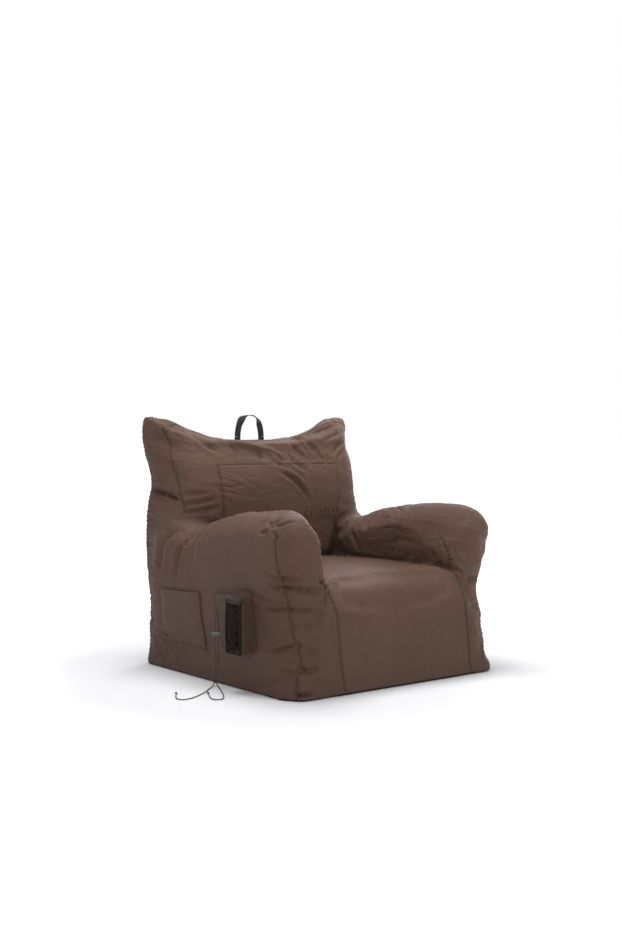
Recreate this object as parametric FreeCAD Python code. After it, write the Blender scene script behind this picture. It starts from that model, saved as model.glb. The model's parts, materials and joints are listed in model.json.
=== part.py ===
import FreeCAD, Part
import math
import os

# Bean bag armchair: a flat base, a seat block, two arm blocks and a backrest block,
# each a sewn cover over its own charge of beads.
# +Z is up, the seat faces -Y, and the pockets are on the -X side.
# The origin is on the floor, under the middle of the base.

V = FreeCAD.Vector

# Overall size
WIDTH = 820.0
DEPTH = 800.0
SEAT_HEIGHT = 338.0
ARM_HEIGHT = 532.0
EAR_HEIGHT = 808.0
ARM_WIDTH = 162.0
BACK_THICKNESS = 190.0

# Cloth
COVER = 3.0
BASE = 3.0
PATCH = 2.0
AIR = 1.0
SEAT_GAP = 1.0

# Roundings of the filled blocks
ARM_TOP_ROUND = 68.0
FRONT_CORNER_ROUND = 80.0
SEAT_NOSE_ROUND = 70.0
EAR_ROUND = 75.0
EAR_SLOPE = math.radians(19.0)
BACK_FRONT_ROUND = 45.0
BACK_REAR_ROUND = 60.0

# Seams between the cover's panels
ARM_FRONT_SEAM_Y = -330.0
ARM_FRONT_SEAM_Z = 485.0
GUSSET_DEPTH = 80.0

# Patch on the front of the backrest
BACK_PATCH_X = (-246.0, 246.0)
BACK_PATCH_Z = (455.0, 662.0)

# Pockets on the left side
POCKET_Y = (60.0, 305.0)
POCKET_Z = (95.0, 262.0)
POCKET_FULLNESS = 11.0
POCKET_CORNER = 32.0
HOLDER_PATCH_Y = (-222.0, 20.0)
HOLDER_PATCH_Z = (112.0, 286.0)
HOLDER_Y = (-218.0, -140.0)
HOLDER_Z = (115.0, 264.0)
HOLDER_DEPTH = 50.0
MESH = 1.6
MESH_CELL = 12.0
MESH_BAR = 3.0
HEM = 8.0
HEM_HEIGHT = 11.0

# Drawcord and its lock
CORD = 3.0
CORD_FIT = 0.4
LOCK_CENTRE = V(-447.0, -69.0, 159.0)
TIE_CENTRE = V(-447.2, -60.5, 14.0)
LOCK_TURN = -45.0
LOCK_STRANDS = 4.0
LOCK_RADIUS = 6.0
LOCK_BODY = (-14.0, 7.0)
LOCK_BORE_END = -12.0
LOCK_BORE_RADIUS = 3.9
PLUNGER_RADIUS = 3.6
PLUNGER = (-6.4, 10.2)
BUTTON_END = 14.0
BUTTON_RADIUS = 4.8
BUTTON_TRAVEL = 3.0
SPRING_WIRE = 0.6
SPRING_RADIUS = 2.6
SPRING_TURNS = 3
TIE_KNOT_RADIUS = 5.0
END_KNOT_RADIUS = 4.2
END_KNOT_GRIP = 0.6
ARC_SHARE = 0.45

# Carry handle
HANDLE_Y = 370.0
HANDLE_SPAN = 84.0
HANDLE_RISE = 80.0
WEBBING_WIDTH = 25.0
WEBBING = 2.4
HANDLE_ROOT = 4.5
ANCHOR = 1.2
ANCHOR_GAP = 0.3

# Filling zip, low on the rear panel
ZIP_HALF_LENGTH = 250.0
ZIP_Z = 92.0
ZIP_ROOM = 10.0
ZIP_SLOT = 14.0
ZIP_TAPE = 1.5
ZIP_TAPE_WIDTH = 16.0
ZIP_PITCH = 5.0
TOOTH_SHIFT = {"lower": 0.25, "upper": 0.75}
TOOTH_WIDTH = 2.2
TOOTH_ROOT = 3.0
TOOTH_REACH = 1.2
TOOTH_THICKNESS = 4.0
SLIDER_LENGTH = 14.0
SLIDER_PLATE = 1.5
SLIDER_HALF_HEIGHT = 5.5
SLIDER_CLEARANCE = 0.3
SLIDER_LIP = 1.0
SLIDER_FROM_STOP = 1.0
STOP_LENGTH = 4.0

# Values that follow
HALF_WIDTH = WIDTH / 2
FRONT = -DEPTH / 2
REAR = DEPTH / 2
BACK_FRONT = REAR - BACK_THICKNESS
ARM_INNER = HALF_WIDTH - ARM_WIDTH
SEAT_HALF = ARM_INNER - SEAT_GAP
EAR_CENTRE = V(HALF_WIDTH - EAR_ROUND, 0, EAR_HEIGHT - EAR_ROUND)
DIP_CENTRE_Z = EAR_CENTRE.z + EAR_CENTRE.x / math.tan(EAR_SLOPE)
DIP_RADIUS = EAR_CENTRE.x / math.sin(EAR_SLOPE) - EAR_ROUND
BELOW = -20.0
FAR = 1000.0
TOUCHING = 0.001
ON_FACE = 0.01

parts = {}


def box(x, y, z):
    """Box from three (low, high) pairs."""
    size = [high - low for low, high in (x, y, z)]
    return Part.makeBox(size[0], size[1], size[2], V(x[0], y[0], z[0]))


def cylinder(radius, start, end):
    return Part.makeCylinder(radius, (end - start).Length, start, end - start)


def joined(solids):
    """Several solids of one node, side by side."""
    return Part.makeCompound([solid for shape in solids for solid in shape.Solids])


def rounded_prism(normal, u, v, w, radii):
    """Rectangle u by v with rounded corners, run from w[0] to w[1] along the normal axis.

    radii are those of the corners (low u, low v), (high, low), (high, high), (low, high).
    """
    place = {
        "x": lambda a, b: V(w[0], a, b),
        "y": lambda a, b: V(a, w[0], b),
        "z": lambda a, b: V(a, b, w[0]),
    }[normal]
    corners = [(u[0], v[0]), (u[1], v[0]), (u[1], v[1]), (u[0], v[1])]
    inward = [(1, 1), (-1, 1), (-1, -1), (1, -1)]
    edges = []
    last = None
    first = None
    for index, ((a, b), (da, db), radius) in enumerate(zip(corners, inward, radii)):
        along_u = index in (1, 3)
        before = (a + da * radius, b) if along_u else (a, b + db * radius)
        after = (a, b + db * radius) if along_u else (a + da * radius, b)
        start = place(*before)
        end = place(*after)
        if last is None:
            first = start
        elif (start - last).Length > TOUCHING:
            edges.append(Part.LineSegment(last, start).toShape())
        if radius > 0:
            reach = radius * (1 - math.sqrt(0.5))
            middle = place(a + da * reach, b + db * reach)
            edges.append(Part.Arc(start, middle, end).toShape())
        last = end
    if (first - last).Length > TOUCHING:
        edges.append(Part.LineSegment(last, first).toShape())
    run = {"x": V(w[1] - w[0], 0, 0), "y": V(0, w[1] - w[0], 0), "z": V(0, 0, w[1] - w[0])}[normal]
    return Part.Face(Part.Wire(edges)).extrude(run)


def mirrored(shape):
    return shape.mirror(V(0, 0, 0), V(1, 0, 0))


def arm_block(inset, bottom, rear):
    """Left arm: a long block with a domed top, a rounded nose and a rounded outer front corner."""
    x = (-HALF_WIDTH + inset, -ARM_INNER - inset)
    y = (FRONT + inset, rear)
    z = (bottom, ARM_HEIGHT - inset)
    corner = FRONT_CORNER_ROUND - inset
    block = rounded_prism("z", x, y, z, (corner, 0, 0, 0))
    rim = []
    for edge in block.Edges:
        on_top = all(abs(vertex.Z - z[1]) < TOUCHING for vertex in edge.Vertexes)
        at_rear = all(abs(vertex.Y - rear) < TOUCHING for vertex in edge.Vertexes)
        if on_top and not at_rear:
            rim.append(edge)
    return block.makeFillet(ARM_TOP_ROUND - inset, rim)


def seat_block(inset, bottom, rear, side_inset):
    """Seat between the arms, with a rounded front edge."""
    x = (-SEAT_HALF + side_inset, SEAT_HALF - side_inset)
    y = (FRONT + inset, rear)
    z = (bottom, SEAT_HEIGHT - inset)
    return rounded_prism("x", y, z, x, (0, 0, 0, SEAT_NOSE_ROUND - inset))


def back_block(inset, bottom, rear_inset=None):
    """Backrest across the full width, with a rounded ear at each top corner and a dip between.

    Its front edges are rounded above the arms and square behind them.
    """
    y = (BACK_FRONT + inset, REAR - (inset if rear_inset is None else rear_inset))
    ear = EAR_ROUND - inset
    dip = DIP_RADIUS + inset
    side = HALF_WIDTH - inset

    def on_ear(angle, sign):
        return V(sign * (EAR_CENTRE.x + ear * math.cos(angle)), y[0], EAR_CENTRE.z + ear * math.sin(angle))

    crest = math.pi / 2 + EAR_SLOPE
    dip_middle = V(0, y[0], DIP_CENTRE_Z - dip)
    right = [on_ear(0, 1), on_ear(crest / 2, 1), on_ear(crest, 1)]
    left = [on_ear(crest, -1), on_ear(crest / 2, -1), on_ear(0, -1)]
    low_right = V(side, y[0], bottom)
    low_left = V(-side, y[0], bottom)
    edges = [
        Part.LineSegment(low_right, right[0]).toShape(),
        Part.Arc(*right).toShape(),
        Part.Arc(right[2], dip_middle, left[0]).toShape(),
        Part.Arc(*left).toShape(),
        Part.LineSegment(left[2], low_left).toShape(),
        Part.LineSegment(low_left, low_right).toShape(),
    ]
    block = Part.Face(Part.Wire(edges)).extrude(V(0, y[1] - y[0], 0))
    shoulder = ARM_HEIGHT - ARM_TOP_ROUND - inset
    behind_arms = box((-side, side), (y[0], y[0] + BACK_FRONT_ROUND + COVER), (bottom, shoulder))
    for face_y, radius in ((y[0], BACK_FRONT_ROUND - inset), (y[1], BACK_REAR_ROUND - inset)):
        rim = []
        for edge in block.Edges:
            in_face = all(abs(vertex.Y - face_y) < ON_FACE for vertex in edge.Vertexes)
            at_bottom = all(abs(vertex.Z - bottom) < ON_FACE for vertex in edge.Vertexes)
            if in_face and not at_bottom:
                rim.append(edge)
        block = block.makeFillet(radius, rim)
    return block.fuse(behind_arms).removeSplitter()


def base():
    """Tough flat panel that the chair stands on."""
    corners = (FRONT_CORNER_ROUND, FRONT_CORNER_ROUND, BACK_REAR_ROUND, BACK_REAR_ROUND)
    x = (-HALF_WIDTH, HALF_WIDTH)
    parts["base_panel"] = rounded_prism("z", x, (FRONT, REAR), (0.0, BASE), corners)


def arms():
    """Each arm's side and top panel, front panel, dividing wall and beads."""
    outer = arm_block(0.0, BASE, BACK_FRONT)
    hollow = arm_block(COVER, BELOW, FAR)
    shell = outer.cut(hollow)
    front_zone = box((-FAR, FAR), (-FAR, ARM_FRONT_SEAM_Y), (-FAR, ARM_FRONT_SEAM_Z))
    inner_wall_x = (-ARM_INNER - COVER, -ARM_INNER)
    divider_zone = box(inner_wall_x, (ARM_FRONT_SEAM_Y, BACK_FRONT), (0.0, SEAT_HEIGHT))
    beads = arm_block(COVER + AIR, BASE + AIR, BACK_FRONT - AIR)
    pieces = {
        "arm_front_panel": shell.common(front_zone),
        "arm_divider": shell.common(divider_zone),
        "arm_side_panel": shell.cut(front_zone).cut(divider_zone),
        "arm_bead_fill": beads,
    }
    for name, piece in pieces.items():
        parts[name + "_left"] = piece
        parts[name + "_right"] = mirrored(piece)


def seat():
    """Seat panel, which runs down the front, and the beads under it."""
    outer = seat_block(0.0, BASE, BACK_FRONT, 0.0)
    hollow = seat_block(COVER, BELOW, FAR, -FAR)
    parts["seat_panel"] = outer.cut(hollow)
    parts["seat_bead_fill"] = seat_block(COVER + AIR, BASE + AIR, BACK_FRONT - AIR, AIR)


def backrest():
    """Front panel with its sewn-on patch, side gussets, rear panel, inner wall and beads."""
    outer = back_block(0.0, BASE)
    shell = outer.cut(back_block(COVER, BELOW))
    seam_y = BACK_FRONT + BACK_FRONT_ROUND
    front_zone = box((-FAR, FAR), (-FAR, seam_y), (-FAR, FAR))
    wall_zone = box((-SEAT_HALF, SEAT_HALF), (-FAR, seam_y), (-FAR, SEAT_HEIGHT))
    front = shell.common(front_zone)
    parts["back_front_panel"] = front.cut(wall_zone)
    parts["back_divider"] = front.common(wall_zone)

    gusset_x = (-FAR, -EAR_CENTRE.x)
    gusset_zone = box(gusset_x, (seam_y, seam_y + GUSSET_DEPTH), (-FAR, FAR))
    parts["back_gusset_left"] = shell.common(gusset_zone)
    parts["back_gusset_right"] = mirrored(parts["back_gusset_left"])
    rear = shell.cut(front_zone).cut(gusset_zone).cut(mirrored(gusset_zone))
    slot_z = (ZIP_Z - ZIP_SLOT / 2, ZIP_Z + ZIP_SLOT / 2)
    slot_x = (-ZIP_HALF_LENGTH - STOP_LENGTH, ZIP_HALF_LENGTH + STOP_LENGTH)
    parts["rear_panel"] = rear.cut(box(slot_x, (REAR - 2 * COVER, FAR), slot_z))

    parts["back_bead_fill"] = back_block(COVER + AIR, BASE + AIR, ZIP_ROOM)
    parts["back_patch"] = box(BACK_PATCH_X, (BACK_FRONT - PATCH, BACK_FRONT), BACK_PATCH_Z)


def patch_pocket():
    """Flat pocket on the left side: a tray of cloth sewn down at its sides and bottom."""
    face = -HALF_WIDTH
    x = (face - POCKET_FULLNESS, face)
    corner = POCKET_CORNER
    tray = rounded_prism("x", POCKET_Y, POCKET_Z, x, (corner, corner, 0, 0))
    room_y = (POCKET_Y[0] + PATCH, POCKET_Y[1] - PATCH)
    room_z = (POCKET_Z[0] + PATCH, FAR)
    room_x = (x[0] + PATCH, FAR)
    room_corner = corner - PATCH
    room = rounded_prism("x", room_y, room_z, room_x, (room_corner, room_corner, 0, 0))
    parts["patch_pocket"] = tray.cut(room)


def drink_holder():
    """Backing patch, gusset round three sides, net front and the hem that holds the drawcord."""
    face = -HALF_WIDTH
    patch_face = face - PATCH
    net_x = (patch_face - HOLDER_DEPTH - MESH, patch_face - HOLDER_DEPTH)
    parts["holder_patch"] = box((patch_face, face), HOLDER_PATCH_Y, HOLDER_PATCH_Z)

    walls = box((net_x[1], patch_face), HOLDER_Y, HOLDER_Z)
    inside_y = (HOLDER_Y[0] + PATCH, HOLDER_Y[1] - PATCH)
    room = box((-FAR, FAR), inside_y, (HOLDER_Z[0] + PATCH, FAR))
    parts["holder_gusset"] = walls.cut(room)

    net = box(net_x, HOLDER_Y, HOLDER_Z)
    step = MESH_CELL + MESH_BAR
    columns = int((HOLDER_Y[1] - HOLDER_Y[0] - MESH_BAR) // step)
    rows = int((HOLDER_Z[1] - HOLDER_Z[0] - MESH_BAR) // step)
    left_over_y = HOLDER_Y[1] - HOLDER_Y[0] - columns * step + MESH_BAR
    left_over_z = HOLDER_Z[1] - HOLDER_Z[0] - rows * step + MESH_BAR
    cells = []
    for column in range(columns):
        low_y = HOLDER_Y[0] + left_over_y / 2 + column * step
        for row in range(rows):
            low_z = HOLDER_Z[0] + left_over_z / 2 + row * step
            cells.append(box((-FAR, FAR), (low_y, low_y + MESH_CELL), (low_z, low_z + MESH_CELL)))
    parts["holder_mesh"] = net.cut(Part.makeCompound(cells))

    hem_x = (net_x[1] - HEM, net_x[1])
    hem_z = (HOLDER_Z[1], HOLDER_Z[1] + HEM_HEIGHT)
    hem = box(hem_x, HOLDER_Y, hem_z)
    centre_x = sum(hem_x) / 2
    centre_z = sum(hem_z) / 2
    channel_start = V(centre_x, HOLDER_Y[0] + PATCH, centre_z)
    channel_end = V(centre_x, HOLDER_Y[1] - PATCH, centre_z)
    parts["holder_hem"] = hem.cut(cylinder(CORD / 2 + CORD_FIT, channel_start, channel_end))
    inner_start = channel_start + V(0, CORD_FIT, 0)
    inner_end = channel_end - V(0, CORD_FIT, 0)
    parts["drawcord_in_hem"] = cylinder(CORD / 2, inner_start, inner_end)


def tube(name, route, diameter):
    """Round cord along straight runs joined by tangent arcs."""
    points = [V(*point) for point in route]
    runs = [(b - a).Length for a, b in zip(points, points[1:])]
    edges = []
    radii = []
    last = points[0]
    for index in range(1, len(points) - 1):
        corner = points[index]
        into = (corner - points[index - 1]).normalize()
        out = (points[index + 1] - corner).normalize()
        half_turn = into.getAngle(out) / 2
        reach = ARC_SHARE * min(runs[index - 1], runs[index])
        radius = reach / math.tan(half_turn)
        start = corner - into * reach
        end = corner + out * reach
        middle = corner + (out - into).normalize() * (radius / math.cos(half_turn) - radius)
        edges.append(Part.LineSegment(last, start).toShape())
        edges.append(Part.Arc(start, middle, end).toShape())
        radii.append(radius)
        last = end
    edges.append(Part.LineSegment(last, points[-1]).toShape())
    path = Part.Wire(edges)
    ring = Part.Wire(Part.makeCircle(diameter / 2, points[0], points[1] - points[0]))
    solid = path.makePipeShell([ring], True, False)
    section = math.pi * diameter ** 2 / 4
    print(name, "length %.0f" % path.Length, "radii", " ".join("%.0f" % r for r in radii))
    print(name, "volume / (section x length) %.4f" % (solid.Volume / (section * path.Length)))
    return solid


def strand(sign):
    """Middle of one strand where it hangs straight through the lock."""
    turn = math.radians(LOCK_TURN)
    along = sign * LOCK_STRANDS
    return (LOCK_CENTRE.x + along * math.cos(turn), LOCK_CENTRE.y + along * math.sin(turn))


def drawcord():
    """Two ends of one drawcord: out of the hem, over the net's corner, down to a tie and the floor."""
    rear_x, rear_y = strand(-1)
    front_x, front_y = strand(1)
    rear_route = [
        (-468, -181, 275),
        (-468, -173, 282),
        (-469, -156, 285.5),
        (-469, -132, 281),
        (-464, -107, 268.5),
        (-455.5, -83, 251),
        (rear_x, rear_y, 226),
        (rear_x, rear_y, 82),
        (-450, -64.5, 46),
        (-449.2, -60, 15),
        (-453, -62, 6),
        (-465, -69, 2),
        (-487, -88, 1.6),
        (-512, -111, 1.6),
        (-540, -133, 1.6),
        (-572, -154, 1.6),
        (-605, -170, 1.6),
        (-634, -172, 1.6),
        (-640, -146, 1.6),
        (-623, -117, 1.6),
        (-607, -94, 3.2),
    ]
    front_route = [
        (-464, -177, 275),
        (-464, -169, 281.5),
        (-464, -151, 284),
        (-463, -128, 278.5),
        (-457, -106, 265.5),
        (-448.5, -88, 247),
        (front_x, front_y, 222),
        (front_x, front_y, 78),
        (-444.4, -66, 44),
        (-445.2, -60, 15),
        (-444.5, -66, 5),
        (-449, -79, 1.9),
        (-460, -101, 1.6),
        (-471, -125, 1.6),
        (-485, -151, 1.6),
        (-500, -180, 1.6),
        (-518, -211, 1.6),
        (-540, -236, 1.6),
        (-561, -229, 1.6),
        (-559, -203, 1.6),
        (-545, -176, 1.6),
        (-533, -152, 3.2),
    ]
    parts["drawcord_tail_rear"] = tube("drawcord_tail_rear", rear_route, CORD)
    parts["drawcord_tail_front"] = tube("drawcord_tail_front", front_route, CORD)
    parts["tie_knot"] = Part.makeSphere(TIE_KNOT_RADIUS, TIE_CENTRE)
    for name, route in (("end_knot_rear", rear_route), ("end_knot_front", front_route)):
        tip = V(*route[-1])
        inward = (V(*route[-2]) - tip).normalize()
        centre = tip - inward * END_KNOT_RADIUS * END_KNOT_GRIP
        parts[name] = Part.makeSphere(END_KNOT_RADIUS, V(centre.x, centre.y, END_KNOT_RADIUS))


def placed_in_lock(shape):
    shape.rotate(V(0, 0, 0), V(0, 0, 1), LOCK_TURN)
    shape.translate(LOCK_CENTRE)
    return shape


def cord_lock():
    """Sprung toggle: a barrel that both strands run through, and a button that frees them."""
    hole = CORD / 2 + CORD_FIT
    barrel = cylinder(LOCK_RADIUS, V(LOCK_BODY[0], 0, 0), V(LOCK_BODY[1], 0, 0))
    bore = cylinder(LOCK_BORE_RADIUS, V(LOCK_BORE_END, 0, 0), V(FAR, 0, 0))
    plunger = cylinder(PLUNGER_RADIUS, V(PLUNGER[0], 0, 0), V(PLUNGER[1], 0, 0))
    button = cylinder(BUTTON_RADIUS, V(PLUNGER[1], 0, 0), V(BUTTON_END, 0, 0))
    plunger = plunger.fuse(button)
    barrel = barrel.cut(bore)
    for sign in (-1, 1):
        x = sign * LOCK_STRANDS
        barrel = barrel.cut(cylinder(hole, V(x, 0, -FAR), V(x, 0, FAR)))
        plunger = plunger.cut(box((x - hole, x + BUTTON_TRAVEL + hole), (-hole, hole), (-FAR, FAR)))
    parts["cord_lock_body"] = placed_in_lock(barrel)
    parts["cord_lock_button"] = placed_in_lock(plunger.removeSplitter())

    spring_start = LOCK_BORE_END + SPRING_WIRE
    spring_length = PLUNGER[0] - LOCK_BORE_END - 2 * SPRING_WIRE
    helix = Part.makeHelix(spring_length / SPRING_TURNS, spring_length, SPRING_RADIUS)
    ring = Part.Wire(Part.makeCircle(SPRING_WIRE / 2, V(SPRING_RADIUS, 0, 0), V(0, 1, 0)))
    spring = Part.Wire(helix).makePipeShell([ring], True, True)
    spring.rotate(V(0, 0, 0), V(0, 1, 0), 90)
    spring.translate(V(spring_start, 0, 0))
    parts["cord_lock_spring"] = placed_in_lock(spring)


def carry_handle():
    """Loop of flat webbing over the rear of the backrest, on two short anchors sewn in the seam."""
    half = HANDLE_SPAN / 2
    outer = half + WEBBING_WIDTH / 2
    inner = half - WEBBING_WIDTH / 2
    round_centre_y = REAR - BACK_REAR_ROUND
    dip_z = DIP_CENTRE_Z - DIP_RADIUS
    reach = HANDLE_Y - round_centre_y
    surface_z = dip_z - BACK_REAR_ROUND + math.sqrt(BACK_REAR_ROUND ** 2 - reach ** 2)
    pivot_z = surface_z + HANDLE_ROOT
    top_z = surface_z + HANDLE_RISE
    y = (HANDLE_Y - WEBBING / 2, HANDLE_Y + WEBBING / 2)
    loop = rounded_prism("y", (-outer, outer), (pivot_z, top_z), y, (0, 0, outer, outer))
    gap_z = (-FAR, top_z - WEBBING_WIDTH)
    gap = rounded_prism("y", (-inner, inner), gap_z, (-FAR, FAR), (0, 0, inner, inner))
    loop = loop.cut(gap)
    anchors = []
    back = back_block(0.0, BASE)
    for sign in (-1, 1):
        x = (sign * half - WEBBING_WIDTH / 2, sign * half + WEBBING_WIDTH / 2)
        loop = loop.fuse(cylinder(WEBBING / 2, V(x[0], HANDLE_Y, pivot_z), V(x[1], HANDLE_Y, pivot_z)))
        anchor_y = (HANDLE_Y - ANCHOR / 2, HANDLE_Y + ANCHOR / 2)
        anchor_z = (surface_z - HANDLE_ROOT, pivot_z - WEBBING / 2 - ANCHOR_GAP)
        anchors.append(box(x, anchor_y, anchor_z).cut(back))
    parts["carry_handle"] = loop.removeSplitter()
    parts["handle_anchors"] = joined(anchors)
    print("handle pivot y %.2f z %.2f, top z %.2f" % (HANDLE_Y, pivot_z, top_z))


def filling_zip():
    """Zip with interleaved teeth on two tapes, two end stops and a slider that has no pull."""
    tape_outer = REAR - COVER
    tape_y = (tape_outer - ZIP_TAPE, tape_outer)
    teeth_y = (tape_outer - TOOTH_THICKNESS / 2, tape_outer + TOOTH_THICKNESS / 2)
    x = (-ZIP_HALF_LENGTH - STOP_LENGTH, ZIP_HALF_LENGTH + STOP_LENGTH)
    count = int(2 * ZIP_HALF_LENGTH / ZIP_PITCH)
    for name, side in (("lower", -1), ("upper", 1)):
        tape_z = sorted((ZIP_Z + side * TOOTH_ROOT, ZIP_Z + side * ZIP_TAPE_WIDTH))
        parts["zip_tape_" + name] = box(x, tape_y, tape_z)
        tooth_z = sorted((ZIP_Z + side * TOOTH_ROOT, ZIP_Z - side * TOOTH_REACH))
        shift = ZIP_PITCH * TOOTH_SHIFT[name]
        teeth = []
        for index in range(count):
            middle = -ZIP_HALF_LENGTH + shift + index * ZIP_PITCH
            tooth_x = (middle - TOOTH_WIDTH / 2, middle + TOOTH_WIDTH / 2)
            teeth.append(box(tooth_x, teeth_y, tooth_z))
        parts["zip_teeth_" + name] = joined(teeth)

    stops = []
    stop_z = (ZIP_Z - TOOTH_ROOT, ZIP_Z + TOOTH_ROOT)
    for sign in (-1, 1):
        ends = sorted((sign * ZIP_HALF_LENGTH, sign * (ZIP_HALF_LENGTH + STOP_LENGTH)))
        stops.append(box(ends, teeth_y, stop_z))
    parts["zip_end_stops"] = joined(stops)

    slider_end = ZIP_HALF_LENGTH - SLIDER_FROM_STOP
    slider_x = (slider_end - SLIDER_LENGTH, slider_end)
    slider_z = (ZIP_Z - SLIDER_HALF_HEIGHT, ZIP_Z + SLIDER_HALF_HEIGHT)
    outer_low = teeth_y[1] + SLIDER_CLEARANCE
    inner_high = teeth_y[0] - SLIDER_CLEARANCE
    pieces = [box(slider_x, (inner_high - SLIDER_PLATE, inner_high), slider_z)]
    cap = box(slider_x, (outer_low, outer_low + SLIDER_PLATE), slider_z)
    for sign in (-1, 1):
        lip = TOOTH_ROOT + SLIDER_CLEARANCE + SLIDER_LIP
        rim = sorted((ZIP_Z + sign * SLIDER_HALF_HEIGHT, ZIP_Z + sign * lip))
        cap = cap.fuse(box(slider_x, (tape_outer + SLIDER_CLEARANCE, outer_low), rim))
    pieces.append(cap.removeSplitter())
    parts["zip_slider"] = joined(pieces)


base()
arms()
seat()
backrest()
patch_pocket()
drink_holder()
drawcord()
cord_lock()
carry_handle()
filling_zip()

os.makedirs("parts", exist_ok=True)
for name, shape in parts.items():
    shape.exportStep("parts/" + name + ".step")
    print(name, "solids", len(shape.Solids), "valid", shape.isValid(), "volume %.1f" % shape.Volume)
print("nodes", len(parts))
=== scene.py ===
import json
import math
import bpy
import numpy as np
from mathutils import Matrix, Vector, noise
from mathutils.bvhtree import BVHTree

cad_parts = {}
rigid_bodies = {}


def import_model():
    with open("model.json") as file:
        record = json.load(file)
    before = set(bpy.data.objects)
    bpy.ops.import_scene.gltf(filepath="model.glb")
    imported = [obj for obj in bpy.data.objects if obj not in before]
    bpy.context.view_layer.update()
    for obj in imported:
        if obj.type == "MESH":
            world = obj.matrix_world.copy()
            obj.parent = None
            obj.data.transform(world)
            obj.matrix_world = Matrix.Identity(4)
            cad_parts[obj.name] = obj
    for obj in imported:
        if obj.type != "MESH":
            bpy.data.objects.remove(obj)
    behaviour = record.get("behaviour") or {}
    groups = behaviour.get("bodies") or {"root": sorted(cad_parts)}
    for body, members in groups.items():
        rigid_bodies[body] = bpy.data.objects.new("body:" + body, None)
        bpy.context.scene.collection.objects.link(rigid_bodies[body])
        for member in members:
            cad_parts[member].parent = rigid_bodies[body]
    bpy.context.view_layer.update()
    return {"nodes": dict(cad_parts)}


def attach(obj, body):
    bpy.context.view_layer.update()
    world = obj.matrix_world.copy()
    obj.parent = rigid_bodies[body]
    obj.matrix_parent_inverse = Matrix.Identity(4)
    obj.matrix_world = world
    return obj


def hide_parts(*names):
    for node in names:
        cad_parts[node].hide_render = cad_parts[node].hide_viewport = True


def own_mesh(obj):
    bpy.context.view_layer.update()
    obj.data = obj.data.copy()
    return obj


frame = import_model()


# Small helpers

def deselectAll():
    if bpy.context.mode != "OBJECT":
        bpy.ops.object.mode_set(mode="OBJECT")
    bpy.ops.object.select_all(action="DESELECT")


def activate(obj):
    deselectAll()
    obj.select_set(True)
    bpy.context.view_layer.objects.active = obj
    return obj


def objectMode():
    bpy.ops.object.mode_set(mode="OBJECT")


def editMode(obj, action="SELECT"):
    activate(obj)
    bpy.ops.object.mode_set(mode="EDIT")
    bpy.ops.mesh.select_all(action=action)


def settle(obj):
    activate(obj)
    bpy.ops.object.transform_apply(location=True, rotation=True, scale=True)
    return obj


def applyAll(obj):
    activate(obj)
    for modifier in list(obj.modifiers):
        bpy.ops.object.modifier_apply(modifier=modifier.name)
    return obj


def joinAll(objs, name):
    deselectAll()
    for obj in objs:
        obj.select_set(True)
    bpy.context.view_layer.objects.active = objs[0]
    bpy.ops.object.join()
    objs[0].name = name
    objs[0].data.name = name
    return objs[0]


def points(mesh):
    co = np.zeros(len(mesh.vertices) * 3)
    mesh.vertices.foreach_get("co", co)
    return co.reshape(-1, 3)


def setPoints(mesh, co):
    mesh.vertices.foreach_set("co", co.ravel())
    mesh.update()


def ramp(x, low, high):
    t = np.clip((x - low) / (high - low), 0.0, 1.0)
    return t * t * (3 - 2 * t)


def hill(x, middle, reach):
    t = np.clip(1 - np.abs(x - middle) / reach, 0.0, 1.0)
    return t * t * (3 - 2 * t)


def profile(x, table):
    return np.interp(x, [row[0] for row in table], [row[1] for row in table])


def slices(obj, axis, places):
    # cuts the whole mesh square to an axis at each place
    editMode(obj)
    for at in places:
        bpy.ops.mesh.select_all(action="SELECT")
        bpy.ops.mesh.bisect(plane_co=[at * a for a in axis], plane_no=axis)
    objectMode()


def flip(obj):
    editMode(obj)
    bpy.ops.mesh.flip_normals()
    objectMode()


def grid(name, cells):
    # a flat grid under its own name, with the share across and along of each point
    deselectAll()
    bpy.ops.mesh.primitive_grid_add(x_subdivisions=cells[0], y_subdivisions=cells[1], size=1)
    piece = settle(bpy.context.object)
    piece.name = name
    piece.data.name = name
    return piece, points(piece.data)[:, :2] + 0.5


def thicken(obj, thickness, offset):
    wall = obj.modifiers.new("wall", "SOLIDIFY")
    wall.thickness = thickness
    wall.offset = offset


def nurbs(name, route, order, resolution):
    curve = bpy.data.curves.new(name, "CURVE")
    curve.dimensions = "3D"
    spline = curve.splines.new("NURBS")
    spline.points.add(len(route) - 1)
    for point, place in zip(spline.points, route):
        point.co = (*place, 1)
    spline.order_u = order
    curve.resolution_u = resolution
    obj = bpy.data.objects.new(name, curve)
    bpy.context.scene.collection.objects.link(obj)
    return obj, curve, spline


def finish(obj, slot, angle=50):
    obj.data.materials.clear()
    obj.data.materials.append(finishes[slot])
    activate(obj)
    if angle:
        bpy.ops.object.shade_smooth_by_angle(angle=math.radians(angle))


def assign(obj, body, slot, *nodes):
    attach(obj, body)
    if nodes:
        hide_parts(*nodes)


def tangents(path):
    tangent = np.gradient(path, axis=0)
    return tangent / np.linalg.norm(tangent, axis=1)[:, None]


def lengthOf(path):
    return float(np.linalg.norm(np.diff(path, axis=0), axis=1).sum())


def fill(node, values):
    for label, value in values.items():
        node.inputs[label].default_value = value


def startMaterial(name, values):
    material = bpy.data.materials.new(name)
    material.use_nodes = True
    nodes, links = material.node_tree.nodes, material.node_tree.links
    shader = nodes["Principled BSDF"]
    fill(shader, values)
    return material, nodes, links, shader


def spreadNode(nodes, links, value, values):
    spread = nodes.new("ShaderNodeMapRange")
    fill(spread, values)
    links.new(value, spread.inputs["Value"])
    return spread.outputs[0]


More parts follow.
